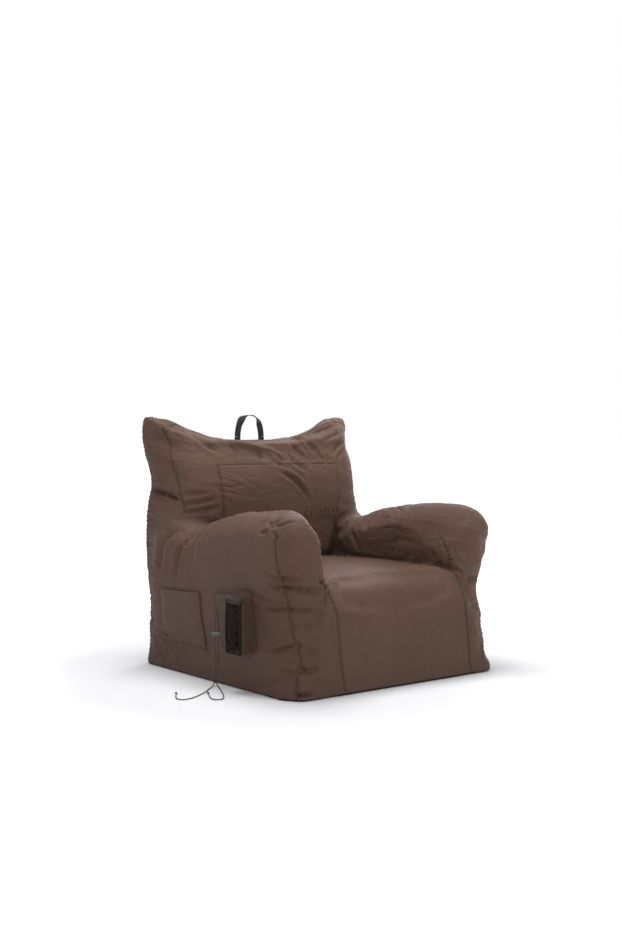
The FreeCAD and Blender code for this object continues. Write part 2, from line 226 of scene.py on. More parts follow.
def mixNode(nodes, links, share, a, b):
    mix = nodes.new("ShaderNodeMix")
    mix.data_type = "RGBA"
    fill(mix, {"A": (*a, 1), "B": (*b, 1)})
    links.new(share, mix.inputs["Factor"])
    return mix.outputs["Result"]


def bumpNode(nodes, links, height, strength, distance):
    bump = nodes.new("ShaderNodeBump")
    fill(bump, {"Strength": strength, "Distance": distance})
    links.new(height, bump.inputs["Height"])
    return bump


def stretchNode(nodes, links, place, scale, turn=(0.0, 0.0, 0.0)):
    stretch = nodes.new("ShaderNodeMapping")
    fill(stretch, {"Scale": scale, "Rotation": turn})
    links.new(place, stretch.inputs["Vector"])
    return stretch.outputs[0]


# Studio: pale floor, soft light, camera

studio = dict(
    cameraAt=(-2.62, -3.30, 0.79), cameraTurn=-38.1, cameraTilt=1.86, lens=50.0,
    floorSize=60.0, floorZ=-0.0006, floorColour=(0.69, 0.69, 0.705),
    floorGlow=(0.02, 0.86), glowFrom=0.80, glowTo=2.0,
    skyColour=(1.0, 1.0, 1.0), skySeen=1.0, skyLight=0.46,
)


def buildStudio():
    deselectAll()
    turn = math.radians(studio["cameraTurn"])
    tilt = math.radians(90 - studio["cameraTilt"])
    bpy.ops.object.camera_add(location=studio["cameraAt"], rotation=(tilt, 0, turn))
    camera = bpy.context.object
    camera.data.lens = studio["lens"]
    camera.data.clip_end = 100
    bpy.context.scene.camera = camera

    bpy.ops.mesh.primitive_plane_add(size=studio["floorSize"], location=(0, 0, studio["floorZ"]))
    floor = bpy.context.object
    floor.name = "studioFloor"
    settle(floor)
    material, nodes, links, shader = startMaterial("paleFloor", {
        "Base Color": (*studio["floorColour"], 1), "Roughness": 0.9, "Specular IOR Level": 0.1,
        "Emission Color": (1, 1, 1, 1),
    })
    away = nodes.new("ShaderNodeVectorMath")
    away.operation = "LENGTH"
    links.new(nodes.new("ShaderNodeTexCoord").outputs["Object"], away.inputs[0])
    low, high = studio["floorGlow"]
    glow = spreadNode(nodes, links, away.outputs["Value"], {
        "From Min": studio["glowFrom"], "From Max": studio["glowTo"], "To Min": low, "To Max": high,
    })
    links.new(glow, shader.inputs["Emission Strength"])
    floor.data.materials.append(material)

    world = bpy.data.worlds.new("softSky")
    bpy.context.scene.world = world
    world.use_nodes = True
    nodes, links = world.node_tree.nodes, world.node_tree.links
    sky = nodes["Background"]
    seen = nodes.new("ShaderNodeBackground")
    fill(sky, {"Color": (*studio["skyColour"], 1), "Strength": studio["skyLight"]})
    fill(seen, {"Color": (*studio["skyColour"], 1), "Strength": studio["skySeen"]})
    path = nodes.new("ShaderNodeLightPath")
    mix = nodes.new("ShaderNodeMixShader")
    links.new(path.outputs["Is Camera Ray"], mix.inputs["Fac"])
    links.new(sky.outputs["Background"], mix.inputs[1])
    links.new(seen.outputs["Background"], mix.inputs[2])
    links.new(mix.outputs["Shader"], nodes["World Output"].inputs["Surface"])

    lamps = {
        "topSoftbox": dict(at=(-0.2, 0.2, 2.8), aim=(-0.1, 0, 0.4), size=1.5, power=69),
        "rightRim": dict(at=(2.2, 1.3, 1.5), aim=(0.2, 0, 0.45), size=2.2, power=38),
        "leftFill": dict(at=(-3.2, -0.6, 1.6), aim=(0, 0, 0.35), size=1.8, power=12),
        "frontFill": dict(at=(0.9, -3.3, 2.0), aim=(0, 0.1, 0.45), size=1.4, power=44),
    }
    for name, lamp in lamps.items():
        bpy.ops.object.light_add(type="AREA", location=lamp["at"])
        light = bpy.context.object
        light.name = name
        light.data.shape = "DISK"
        light.data.size = lamp["size"]
        light.data.energy = lamp["power"]
        aim = Vector(lamp["aim"]) - Vector(lamp["at"])
        light.rotation_euler = aim.to_track_quat("-Z", "Y").to_euler()
    bpy.context.scene.view_settings.view_transform = "Standard"
    print("studio ready")


# Drawcord: both tails follow the same route as their solids

cordSizes = dict(diameter=0.003)
rearTail = [
    (-0.468, -0.181, 0.275), (-0.468, -0.173, 0.282), (-0.469, -0.156, 0.2855),
    (-0.469, -0.132, 0.281), (-0.464, -0.107, 0.2685), (-0.4555, -0.083, 0.251),
    (-0.4498, -0.0662, 0.226), (-0.4498, -0.0662, 0.221), (-0.4498, -0.0662, 0.085),
    (-0.4498, -0.0662, 0.082), (-0.45, -0.0645, 0.046),
    (-0.4492, -0.06, 0.015), (-0.453, -0.062, 0.006), (-0.465, -0.069, 0.002),
    (-0.487, -0.088, 0.0016), (-0.512, -0.111, 0.0016), (-0.54, -0.133, 0.0016),
    (-0.572, -0.154, 0.0016), (-0.605, -0.17, 0.0016), (-0.634, -0.172, 0.0016),
    (-0.64, -0.146, 0.0016), (-0.623, -0.117, 0.0016), (-0.607, -0.094, 0.0032),
]
frontTail = [
    (-0.464, -0.177, 0.275), (-0.464, -0.169, 0.2815), (-0.464, -0.151, 0.284),
    (-0.463, -0.128, 0.2785), (-0.457, -0.106, 0.2655), (-0.4485, -0.088, 0.247),
    (-0.4442, -0.0718, 0.222), (-0.4442, -0.0718, 0.218), (-0.4442, -0.0718, 0.082),
    (-0.4442, -0.0718, 0.078), (-0.4444, -0.066, 0.044),
    (-0.4452, -0.06, 0.015), (-0.4445, -0.066, 0.005), (-0.449, -0.079, 0.0019),
    (-0.46, -0.101, 0.0016), (-0.471, -0.125, 0.0016), (-0.485, -0.151, 0.0016),
    (-0.5, -0.18, 0.0016), (-0.518, -0.211, 0.0016), (-0.54, -0.236, 0.0016),
    (-0.561, -0.229, 0.0016), (-0.559, -0.203, 0.0016), (-0.545, -0.176, 0.0016),
    (-0.533, -0.152, 0.0032),
]


def buildCord(name, route, material):
    cord, curve, spline = nurbs(name, route, 3, 8)
    spline.use_endpoint_u = True
    curve.bevel_depth = cordSizes["diameter"] / 2
    curve.bevel_resolution = 3
    curve.use_fill_caps = True
    curve.materials.append(material)
    return cord


# Cover: one skin over seat, arms and backrest, blown up like the filled bag

cover = dict(
    voxel=0.0088, bottom=0.004,
    seat=dict(x=0.262, y=(-0.388, 0.26), top=0.322, nose=0.055),
    arm=dict(x=(-0.404, -0.250), y=(-0.393, 0.397), top=0.536, crown=0.064, corner=0.070, inner=0.03),
    armTop=[(-0.40, 0.524), (-0.35, 0.533), (-0.30, 0.541), (-0.24, 0.543), (-0.14, 0.541), (-0.03, 0.531),
            (0.08, 0.503), (0.15, 0.480), (0.22, 0.474), (0.28, 0.500), (0.34, 0.560), (0.397, 0.571)],
    back=dict(x=0.405, y=(0.222, 0.402), ear=0.820, lean=0.055),
    backTop=[(0.0, 0.752), (0.10, 0.754), (0.17, 0.760), (0.21, 0.766), (0.28, 0.788), (0.34, 0.815),
             (0.41, 0.817)],
    frames=16, pressure=4.0, slack=-0.03, cap=0.020, sideCap=0.012,
)


def edgesWhere(mesh, test):
    for edge in mesh.edges:
        a, b = (mesh.vertices[i].co for i in edge.vertices)
        edge.select = test(a, b)


def bevelWhere(obj, test, width, segments):
    editMode(obj)
    bpy.ops.mesh.select_mode(type="EDGE")
    bpy.ops.mesh.select_all(action="DESELECT")
    objectMode()
    edgesWhere(obj.data, test)
    bpy.ops.object.mode_set(mode="EDIT")
    bpy.ops.mesh.bevel(offset=width, segments=segments, profile=0.5)
    objectMode()


def block(name, x, y, z):
    deselectAll()
    size = (x[1] - x[0], y[1] - y[0], z[1] - z[0])
    middle = ((x[0] + x[1]) / 2, (y[0] + y[1]) / 2, (z[0] + z[1]) / 2)
    bpy.ops.mesh.primitive_cube_add(size=1, location=middle, scale=size)
    obj = bpy.context.object
    obj.name = name
    return settle(obj)


def near(a, b):
    return abs(a - b) < 1e-4


def armLobe(side):
    p = cover["arm"]
    x0, x1 = p["x"]
    y0, y1 = p["y"]
    top = p["top"]
    lobe = block("armLobe", p["x"], p["y"], (cover["bottom"], top))
    bevelWhere(lobe, lambda a, b: near(a.x, x0) and near(b.x, x0) and near(a.y, y0) and near(b.y, y0),
               p["corner"], 6)
    bevelWhere(lobe, lambda a, b: near(a.x, x1) and near(b.x, x1) and near(a.y, y0) and near(b.y, y0),
               p["inner"], 4)
    bevelWhere(lobe, lambda a, b: near(a.z, top) and near(b.z, top)
               and not (near(a.y, y1) and near(b.y, y1)), p["crown"], 7)
    slices(lobe, (0, 1, 0), [y0 + (y1 - y0) * index / 20 for index in range(1, 20)])
    co = points(lobe.data)
    high = ramp(co[:, 2], 0.30, top)
    # the arm's top is domed: low at the shoulder, full in the middle, rolling over at the front
    co[:, 2] += high * (profile(co[:, 1], cover["armTop"]) - top)
    # the front end is an arch: its inner edge leans outwards as it rises
    share = (co[:, 0] - x0) / (x1 - x0)
    co[:, 0] -= 0.050 * share * ramp(co[:, 2], 0.33, 0.53) * ramp(-co[:, 1], 0.25, 0.38)
    if side > 0:
        co[:, 0] *= -1
    setPoints(lobe.data, co)
    if side > 0:
        flip(lobe)
    return lobe


def seatLobe():
    p = cover["seat"]
    lobe = block("seatLobe", (-p["x"], p["x"]), p["y"], (cover["bottom"], p["top"]))
    bevelWhere(lobe, lambda a, b: near(a.z, p["top"]) and near(b.z, p["top"])
               and near(a.y, p["y"][0]) and near(b.y, p["y"][0]), p["nose"], 6)
    return lobe


def backLobe():
    p = cover["back"]
    y0, y1 = p["y"]
    lobe = block("backLobe", (-p["x"], p["x"]), p["y"], (cover["bottom"], p["ear"]))
    for y, width in ((y0, 0.125), (y1, 0.015)):
        bevelWhere(lobe, lambda a, b: near(a.y, y) and near(b.y, y) and near(a.x, b.x), width, 6)
    slices(lobe, (1, 0, 0), [index * p["x"] / 16 for index in range(-15, 16)])
    slices(lobe, (0, 0, 1), [0.5 + 0.025 * index for index in range(1, 12)])
    slices(lobe, (0, 1, 0), [y0 + (y1 - y0) * index / 6 for index in range(1, 6)])
    co = points(lobe.data)
    high = ramp(co[:, 2], 0.50, p["ear"])
    front = 1 - ramp(co[:, 1], y0 + 0.02, y1 - 0.02)
    across = np.abs(co[:, 0])
    co[:, 2] -= ramp(co[:, 2], 0.60, p["ear"]) * (p["ear"] - profile(across, cover["backTop"]))
    co[:, 2] -= 0.045 * ramp(co[:, 2], 0.66, 0.78) * front ** 2 * (0.5 + 0.5 * ramp(across, 0.15, 0.35))
    co[:, 1] += p["lean"] * high ** 1.4 * front + 0.012 * high
    co[:, 0] *= 1 - 0.02 * ramp(co[:, 2], 0.48, 0.58) + 0.045 * ramp(co[:, 2], 0.60, 0.74)
    setPoints(lobe.data, co)
    return lobe


def buildSkin():
    lobes = [seatLobe(), armLobe(-1), armLobe(1), backLobe()]
    skin = joinAll(lobes, "skin")
    remesh = skin.modifiers.new("remesh", "REMESH")
    remesh.mode = "VOXEL"
    remesh.voxel_size = cover["voxel"]
    smooth = skin.modifiers.new("smooth", "SMOOTH")
    smooth.factor = 0.5
    smooth.iterations = 6
    applyAll(skin)
    print("skin points", len(skin.data.vertices))
    return skin


def curvature(mesh, co):
    edges = np.zeros(len(mesh.edges) * 2, np.int64)
    mesh.edges.foreach_get("vertices", edges)
    a, b = edges.reshape(-1, 2).T
    total = np.zeros_like(co)
    np.add.at(total, a, co[b])
    np.add.at(total, b, co[a])
    count = np.bincount(a, minlength=len(co)) + np.bincount(b, minlength=len(co))
    return ((total / count[:, None] - co) * vertexNormals(mesh)).sum(1)


def giveWeights(obj, name, weights):
    group = obj.vertex_groups.new(name=name)
    for index, weight in enumerate(weights):
        if weight > 0.001:
            group.add([index], float(weight), "REPLACE")


def inflate(skin):
    mesh = skin.data
    rest = points(mesh)
    hollow = curvature(mesh, rest)
    held = np.clip((hollow - 0.0004) / 0.0006, 0, 1)
    held = np.maximum(held, 1 - ramp(rest[:, 2], 0.012, 0.03))
    corner = ramp(np.abs(rest[:, 0]), 0.375, 0.395) * ramp(rest[:, 1], 0.365, 0.385)
    held = np.maximum(held, 0.9 * corner)
    giveWeights(skin, "held", held)
    cloth = skin.modifiers.new("filling", "CLOTH")
    values = dict(quality=6, mass=0.25, tension_stiffness=20, compression_stiffness=10, shear_stiffness=8,
                  bending_stiffness=0.6, use_pressure=True, uniform_pressure_force=cover["pressure"],
                  vertex_group_mass="held", shrink_min=cover["slack"], shrink_max=cover["slack"])
    for name, value in values.items():
        setattr(cloth.settings, name, value)
    cloth.settings.effector_weights.gravity = 0
    cloth.collision_settings.use_collision = False
    for frameNumber in range(1, cover["frames"] + 1):
        bpy.context.scene.frame_set(frameNumber)
    activate(skin)
    bpy.ops.object.modifier_apply(modifier="filling")
    moved = points(skin.data) - rest
    far = np.linalg.norm(moved, axis=1)
    cap = cover["sideCap"] + (cover["cap"] - cover["sideCap"]) * ramp(rest[:, 2], 0.26, 0.46)
    moved *= (np.minimum(far, cap) / np.maximum(far, 1e-9))[:, None]
    setPoints(skin.data, rest + moved)
    bpy.context.scene.frame_set(1)
    skin.vertex_groups.clear()


# Seams: each is a slanted plane that cuts one region of the skin

seamPlanes = {
    "frontLeft": dict(through=[(-0.260, 0, 0.32), (-0.223, 0, 0)], along=(0, 1, 0),
                      low=(-0.34, -0.5, 0.0), high=(-0.2, -0.30, 0.483)),
    "frontRight": dict(through=[(0.264, 0, 0.32), (0.293, 0, 0)], along=(0, 1, 0),
                       low=(0.2, -0.5, 0.0), high=(0.34, -0.30, 0.483)),
    "cornerLeft": dict(through=[(0, -0.326, 0.48), (0, -0.387, 0)], along=(1, 0, 0),
                       low=(-0.45, -0.5, 0.0), high=(-0.30, -0.25, 0.483)),
    "cornerRight": dict(through=[(0, -0.318, 0.48), (0, -0.370, 0)], along=(1, 0, 0),
                        low=(0.30, -0.5, 0.0), high=(0.45, -0.25, 0.483)),
    "armTipLeft": dict(through=[(0, -0.290, 0.481), (0, -0.420, 0.487)], along=(1, 0, 0),
                       low=(-0.45, -0.5, 0.46), high=(-0.262, -0.300, 0.51)),
    "armTipRight": dict(through=[(0, -0.290, 0.481), (0, -0.420, 0.487)], along=(1, 0, 0),
                        low=(0.262, -0.5, 0.46), high=(0.45, -0.300, 0.51)),
    "backEdge": dict(through=[(0, 0.235, 0.49), (0, 0.332, 0.78)], along=(1, 0, 0),
                     low=(-0.45, 0.20, 0.50), high=(0.45, 0.42, 0.9)),
    "shoulderLeft": dict(through=[(0, 0.263, 0.545), (0, 0.395, 0.578)], along=(1, 0, 0),
                         low=(-0.45, 0.25, 0.5), high=(-0.30, 0.395, 0.62)),
    "shoulderRight": dict(through=[(0, 0.263, 0.540), (0, 0.395, 0.572)], along=(1, 0, 0),
                          low=(0.30, 0.25, 0.5), high=(0.45, 0.395, 0.62)),
    "rearEdge": dict(through=[(0, 0.388, 0), (0, 0.388, 0.8)], along=(1, 0, 0),
                     low=(-0.45, 0.37, 0.0), high=(0.45, 0.42, 0.9)),
}


def seamPlane(name):
    p = seamPlanes[name]
    a, b = (Vector(q) for q in p["through"])
    normal = (b - a).cross(Vector(p["along"])).normalized()
    return a, normal


def beyond(name, co):
    # how far each point is past the seam's plane, counted towards +X or +Y or +Z
    place, normal = seamPlane(name)
    normal = np.array(normal)
    normal = normal * np.sign(normal[np.abs(normal).argmax()])
    return (co - np.array(place)) @ normal


def faceValues(mesh, what):
    co = np.zeros(len(mesh.polygons) * 3)
    mesh.polygons.foreach_get(what, co)
    return co.reshape(-1, 3)


def vertexNormals(mesh):
    normals = np.zeros(len(mesh.vertices) * 3)
    mesh.vertices.foreach_get("normal", normals)
    return normals.reshape(-1, 3)


def chain(mesh):
    # the selected edges as lines of points, longest first
    links = {}
    for edge in mesh.edges:
        if edge.select:
            a, b = edge.vertices
            links.setdefault(a, []).append(b)
            links.setdefault(b, []).append(a)
    lines = []
    seen = set()
    ends = [v for v in links if len(links[v]) == 1] + list(links)
    for start in ends:
        if start in seen:
            continue
        line = [start]
        seen.add(start)
        while True:
            onward = [v for v in links[line[-1]] if v not in seen]
            if not onward:
                break
            line.append(onward[0])
            seen.add(onward[0])
        if len(line) > 8:
            lines.append(np.array([mesh.vertices[i].co for i in line]))
    lines.sort(key=len, reverse=True)
    return lines


def evenly(line, step):
    along = np.concatenate([[0], np.cumsum(np.linalg.norm(np.diff(line, axis=0), axis=1))])
    at = np.linspace(0, along[-1], max(2, int(round(along[-1] / step)) + 1))
    return np.stack([np.interp(at, along, line[:, k]) for k in range(line.shape[1])], axis=1)


def cutSeams(skin):
    mesh = skin.data
    lines = {}
    activate(skin)
    for name, p in seamPlanes.items():
        centre = faceValues(mesh, "center")
        inside = ((centre > np.array(p["low"])) & (centre < np.array(p["high"]))).all(1)
        place, normal = seamPlane(name)
        bpy.ops.object.mode_set(mode="EDIT")
        bpy.ops.mesh.select_mode(type="FACE")
        bpy.ops.mesh.select_all(action="DESELECT")
        objectMode()
        mesh.polygons.foreach_set("select", inside)
        bpy.ops.object.mode_set(mode="EDIT")
        bpy.ops.mesh.bisect(plane_co=place, plane_no=normal, threshold=0.0002)
        objectMode()
        lines[name] = chain(mesh)
    print("seams cut", {name: len(line) for name, line in lines.items()})
    return lines


def reachOf(co, line, reach):
    # which points are within reach of the line, how far, and where along it
    low = line.min(0) - reach
    high = line.max(0) + reach
    close = np.nonzero(((co > low) & (co < high)).all(1))[0]
    best = np.full(len(close), np.inf)
    where = np.zeros(len(close))
    p = co[close]
    done = 0.0
    for a, b in zip(line[:-1], line[1:]):
        d = b - a
        length = np.linalg.norm(d)
        if length < 1e-7:
            continue
        t = np.clip(((p - a) @ d) / length ** 2, 0, 1)
        far = np.linalg.norm(p - a - t[:, None] * d, axis=1)
        closer = far < best
        best[closer] = far[closer]
        where[closer] = done + t[closer] * length
        done += length
    keep = best < reach
    return close[keep], best[keep], where[keep], done


seamLook = dict(groove=0.0022, grooveWidth=0.0030, welt=0.0006, weltAt=0.012, weltWidth=0.007,
                gather=0.0015, gatherWidth=0.018, gatherPitch=0.0150, plain=("armTipLeft", "armTipRight"))


def pressSeams(mesh, lines):
    # sinks each seam and gathers the cloth beside it
    p = seamLook
    co = points(mesh)
    normal = vertexNormals(mesh)
    lift = np.zeros(len(co))
    for name, found in lines.items():
        if name in p["plain"]:
            continue
        for number, line in enumerate(found[:2]):
            index, far, along, total = reachOf(co, evenly(line, 0.012), 0.05)
            seed = len(name) * 1.7 + 7 * number
            phase = along / p["gatherPitch"] * 2 * math.pi
            phase += 2.1 * np.sin(along / 0.041 + seed) + 1.3 * np.sin(along / 0.093 + 2 * seed)
            strength = 0.25 + 0.75 * np.sin(along / 0.11 + seed * 1.3) ** 2
            ends = np.clip(np.minimum(along, total - along) / 0.02, 0, 1)
            groove = -p["groove"] * np.exp(-(far / p["grooveWidth"]) ** 2)
            groove += p["welt"] * np.exp(-((far - p["weltAt"]) / p["weltWidth"]) ** 2)
            pucker = p["gather"] * np.sin(phase) * strength * np.exp(-(far / p["gatherWidth"]) ** 2)
            lift[index] += groove * (0.4 + 0.6 * ends) + pucker * ends
    setPoints(mesh, co + normal * lift[:, None])


# Folds, in millimetres: width, depth, then a line over the skin. The cloth is pressed in beside a soft crest.
# A minus depth is a raised crest. "back" points are (x, z) on the backrest, "side" points (y, z) on the left.

folds = {
    "side": [
        (13, 18, (400, 577), (330, 569), (290, 558), (250, 537)),
        (7, 6, (385, 556), (330, 545), (270, 527)),
        (7, 5, (402, 455), (355, 460)),
        (7, 4, (402, 395), (340, 402)),
        (7, 5, (402, 300), (350, 304)),
        (7, 4, (402, 225), (330, 222)),
        (7, 4, (402, 150), (345, 146)),
    ],
    "skin": [
        (13, 16, (412, 400, 570), (393, 330, 562), (387, 290, 552), (374, 255, 535)),
        (8, 11, (-418, -262, 334), (-400, -345, 324), (-364, -375, 317), (-262, -395, 298)),
        (7, 9, (-418, -233, 249), (-401, -349, 262), (-335, -395, 256), (-268, -400, 250)),
        (7, 8, (-418, -252, 127), (-387, -356, 152), (-325, -398, 160)),
        (6, 4, (-418, -262, 104), (-395, -340, 107), (-372, -366, 103)),
        (7, 7, (-410, -315, 82), (-361, -370, 83), (-286, -403, 77)),
        (7, 6, (-418, -100, 302), (-418, -200, 296), (-405, -330, 272)),
        (7, 5, (-418, -270, 366), (-400, -345, 352), (-350, -380, 345)),
        (7, 4, (-405, -335, 215), (-360, -378, 212), (-300, -398, 218)),
        (7, 10, (-400, -375, 14), (-372, -395, 17), (-330, -408, 14)),
        (6, 7, (-403, -300, 480), (-383, -250, 508)),
        (6, 7, (-403, -300, 480), (-355, -305, 512)),
        (6, 7, (-405, -300, 480), (-415, -235, 470)),
        (6, 6, (-403, -300, 480), (-413, -345, 462)),
        (6, 7, (-403, -300, 480), (-360, -350, 486)),
        (6, 21, (-310, -388, 345), (-268, -375, 320), (-235, -345, 322)),
        (14, 9, (-395, 190, 468), (-416, 236, 452), (-418, 288, 401), (-418, 315, 290)),
        (12, 8, (-405, 125, 472), (-418, 163, 420), (-418, 197, 359), (-418, 215, 280)),
        (11, 6, (-395, 65, 492), (-417, 87, 440), (-418, 105, 380)),
        (10, 5, (-380, 15, 512), (-413, 30, 466), (-418, 40, 420)),
        (9, 6, (-300, 190, 475), (-350, 160, 485), (-390, 100, 485)),
        (10, 4, (-330, 80, 490), (-360, 0, 515), (-385, -80, 505)),
        (9, 5, (260, -40, 495), (290, -70, 515), (330, -110, 525)),
        (10, 7, (235, 130, 440), (240, 90, 390), (240, 70, 350)),
        (9, 8, (245, -290, 345), (250, -335, 335), (262, -380, 322)),
        (10, 10, (278, -385, 301), (320, -390, 300), (380, -375, 295)),
        (9, 5, (283, -390, 350), (320, -400, 352), (370, -385, 362)),
        (9, 6, (283, -395, 225), (330, -400, 215), (385, -380, 220)),
    ],
    "back": [
        (10, -7, (-235, 742), (-90, 722), (-3, 702), (55, 672), (85, 630)),
        (12, 6, (-120, 700), (-30, 678), (30, 640), (75, 600)),
        (9, 8, (-30, 646), (56, 606), (100, 562), (130, 500)),
        (7, -4, (0, 650), (75, 612), (120, 566)),
        (9, 7, (54, 690), (85, 650), (139, 625)),
        (9, 8, (85, 733), (130, 672), (146, 636)),
        (9, 8, (149, 742), (194, 694), (225, 655)),
        (9, 8, (345, 795), (260, 770), (195, 752)),
        (8, 7, (350, 770), (275, 748), (215, 728)),
        (8, 7, (350, 738), (290, 715), (255, 680)),
        (7, 5, (310, 700), (275, 672), (262, 645)),
        (11, 8, (-318, 775), (-285, 745), (-258, 722), (-205, 690)),
        (8, 4, (-180, 726), (-150, 700), (-130, 672)),
        (7, 5, (-70, 706), (-50, 684), (-45, 664)),
        (7, 5, (-20, 690), (-5, 672), (0, 656)),
        (9, 6, (-372, 530), (-317, 539), (-245, 548)),
        (8, 6, (-372, 505), (-305, 512), (-242, 524)),
        (8, 4, (-372, 560), (-330, 564), (-280, 566)),
    ],
}
# short gathers above and below the backrest patch
folds["back"] += [(5.4, 6, (x, 658), (x - 10, 676), (x - 24, 694))
                  for x in (35, 62, 88, 118, 148, 172, 196, 218, 242)]
folds["back"] += [(5.5, 3, (x, 655), (x + 4, 640)) for x in (50, 104, 136, 184, 230)]
folds["back"] += [(5.2, 5.5, (x, 468), (x + 3, 482), (x + 8, 498))
                  for x in (100, 120, 139, 160, 178, 198, 218, 236)]


def treeOf(obj):
    mesh = obj.data
    return BVHTree.FromPolygons([v.co for v in mesh.vertices], [tuple(p.vertices) for p in mesh.polygons])


def onSkin(tree, on, point):
    # the skin's point and its outward direction, from two numbers on a side or three anywhere
    if on == "back":
        hit = tree.ray_cast(Vector((point[0], 0.12, point[1])), Vector((0, 1, 0)))
    elif on == "side":
        hit = tree.ray_cast(Vector((-1.0, point[0], point[1])), Vector((1, 0, 0)))
    elif on == "rear":
        hit = tree.ray_cast(Vector((point[0], 1.0, point[1])), Vector((0, -1, 0)))
    else:
        hit = tree.find_nearest(Vector(point))
    if hit[0] is None:
        guess = {"back": (point[0], 0.25, point[-1]), "side": (-0.41, point[0], point[-1]),
                 "rear": (point[0], 0.40, point[-1])}[on]
        hit = tree.find_nearest(Vector(guess))
    return hit[0], hit[1]


def pressFolds(skin):
    mesh = skin.data
    tree = treeOf(skin)
    co = points(mesh)
    normal = vertexNormals(mesh)
    lift = np.zeros(len(co))
    every = [(on, fold) for on, group in folds.items() for fold in group]
    for on, (width, depth, *run) in every:
        width, depth = width / 1000, depth / 1000
        line = np.array([onSkin(tree, on, point)[0] for point in evenly(np.array(run) / 1000, 0.012)])
        index, far, along, total = reachOf(co, line, width * 4)
        ends = ramp(np.minimum(along, total - along), 0, 0.35 * total)
        valley = -depth * 1.15 * np.exp(-np.abs(far / (0.85 * width)) ** 1.1)
        crest = 0.35 * depth * np.exp(-((far - 1.9 * width) / (0.8 * width)) ** 2)
        lift[index] += (valley + crest) * ends
    setPoints(mesh, co + normal * lift[:, None])
    print("folds pressed", len(every))


def loosen(mesh):
    # slack in the cloth: long low waves that lie mostly level, and small ones between them
    co = points(mesh)
    normal = vertexNormals(mesh)
    lift = np.zeros(len(co))
    for i, (x, y, z) in enumerate(co):
        broad = noise.noise(Vector((x * 7, y * 7, z * 13)))
        small = noise.noise(Vector((x * 9 + 5, y * 9, z * 34 + x * 8)))
        patchy = max(0.0, noise.noise(Vector((x * 5, y * 5 + 3, z * 6))))
        patchy *= 0 if abs(x) < 0.25 and y < 0.2 and z < 0.36 else 1
        lift[i] = 0.0034 * broad + 0.0014 * small - 0.0052 * patchy * math.exp(-(small / 0.09) ** 2)
    lift *= ramp(co[:, 2], 0.01, 0.05)
    setPoints(mesh, co + normal * lift[:, None])


def shapeBase(mesh):
    # brings the lowest part of the skin out to the base's edge, and tucks the right front corner in above it
    co = points(mesh)
    half = np.array([0.416, 0.407])
    left = co[:, 0] < 0
    front = co[:, 1] < 0
    radius = np.where(front & left, 0.075, np.where(front, 0.012, 0.03))
    q = np.abs(co[:, :2]) - half + radius[:, None]
    outside = np.maximum(q, 0)
    away = np.linalg.norm(outside, axis=1)
    gap = away + np.minimum(q.max(1), 0) - radius
    flat = np.where((q[:, :1] > q[:, 1:]), [[1.0, 0.0]], [[0.0, 1.0]])
    out = np.where((away > 1e-6)[:, None], outside / np.maximum(away, 1e-6)[:, None], flat) * np.sign(co[:, :2])
    share = (1 - ramp(co[:, 2], 0.003, 0.085)) * (gap > -0.06) * ((co[:, 2] > 0.0045) | (gap > -0.012))
    co[:, :2] -= out * (gap * share)[:, None]
    co[:, 2] -= 0.0038 * (1 - ramp(co[:, 2], 0.004, 0.03))
    tuck = hill(co[:, 2], 0.262, 0.115) * ramp(co[:, 0] - co[:, 1], 0.66, 0.80)
    co[:, 0] -= 0.022 * tuck
    co[:, 1] += 0.018 * tuck
    swell = 0.4 * hill(co[:, 2], 0.42, 0.11) * ramp(-co[:, 1], 0.30, 0.39) * ramp(np.abs(co[:, 0]), 0.26, 0.32)
    co[:, 1] -= 0.010 * swell
    corner = ramp(np.abs(co[:, 0]), 0.36, 0.40) * ramp(co[:, 1], 0.34, 0.39) * hill(co[:, 2], 0.42, 0.22)
    co[:, 0] += np.sign(co[:, 0]) * 0.011 * corner
    co[:, 1] += 0.008 * corner
    ear = hill(co[:, 2], 0.745, 0.13) * ramp(co[:, 1], 0.30, 0.38) * ramp(-co[:, 0], 0.33, 0.39)
    co[:, 0] -= 0.010 * ear
    co[:, 0] -= 0.010 * ramp(co[:, 0], 0.33, 0.39) * ramp(co[:, 2], 0.50, 0.56)
    slopes = 0.005 * hill(co[:, 0], 0.24, 0.12) - 0.008 * hill(co[:, 0], -0.26, 0.13)
    co[:, 2] += ramp(co[:, 2], 0.70, 0.75) * slopes
    tip = ramp(-co[:, 1], 0.30, 0.39) * ramp(co[:, 0], 0.25, 0.34) * ramp(co[:, 2], 0.42, 0.51)
    co[:, 2] -= 0.010 * tip
    co[:, 0] -= 0.006 * tip
    setPoints(mesh, co)


zipSizes = dict(z=0.092, halfLength=0.262, halfHeight=0.020, skinY=0.3938,
                tape=dict(half=0.254, y=0.39625, width=0.013, thickness=0.0010, steps=90),
                tapes={"zipTapeLower": (0.0825, "zip_tape_lower"), "zipTapeUpper": (0.1015, "zip_tape_upper")})


def pressZip(mesh):
    # the rear lies flat behind the filling zip
    p = zipSizes
    co = points(mesh)
    inside = ramp(p["halfLength"] + 0.07 - np.abs(co[:, 0]), 0, 0.07)
    inside *= ramp(p["halfHeight"] + 0.07 - np.abs(co[:, 2] - p["z"]), 0, 0.07)
    over = np.maximum(co[:, 1] - p["skinY"], 0) * (co[:, 1] > 0.3)
    under = np.minimum(co[:, 1] - p["skinY"], 0) * (co[:, 1] > 0.375)
    co[:, 1] -= (over + under) * inside
    co[:, 2] = np.maximum(co[:, 2], 0.0003)
    setPoints(mesh, co)


# Panels: the skin is parted along its seams into the pieces that are sewn together

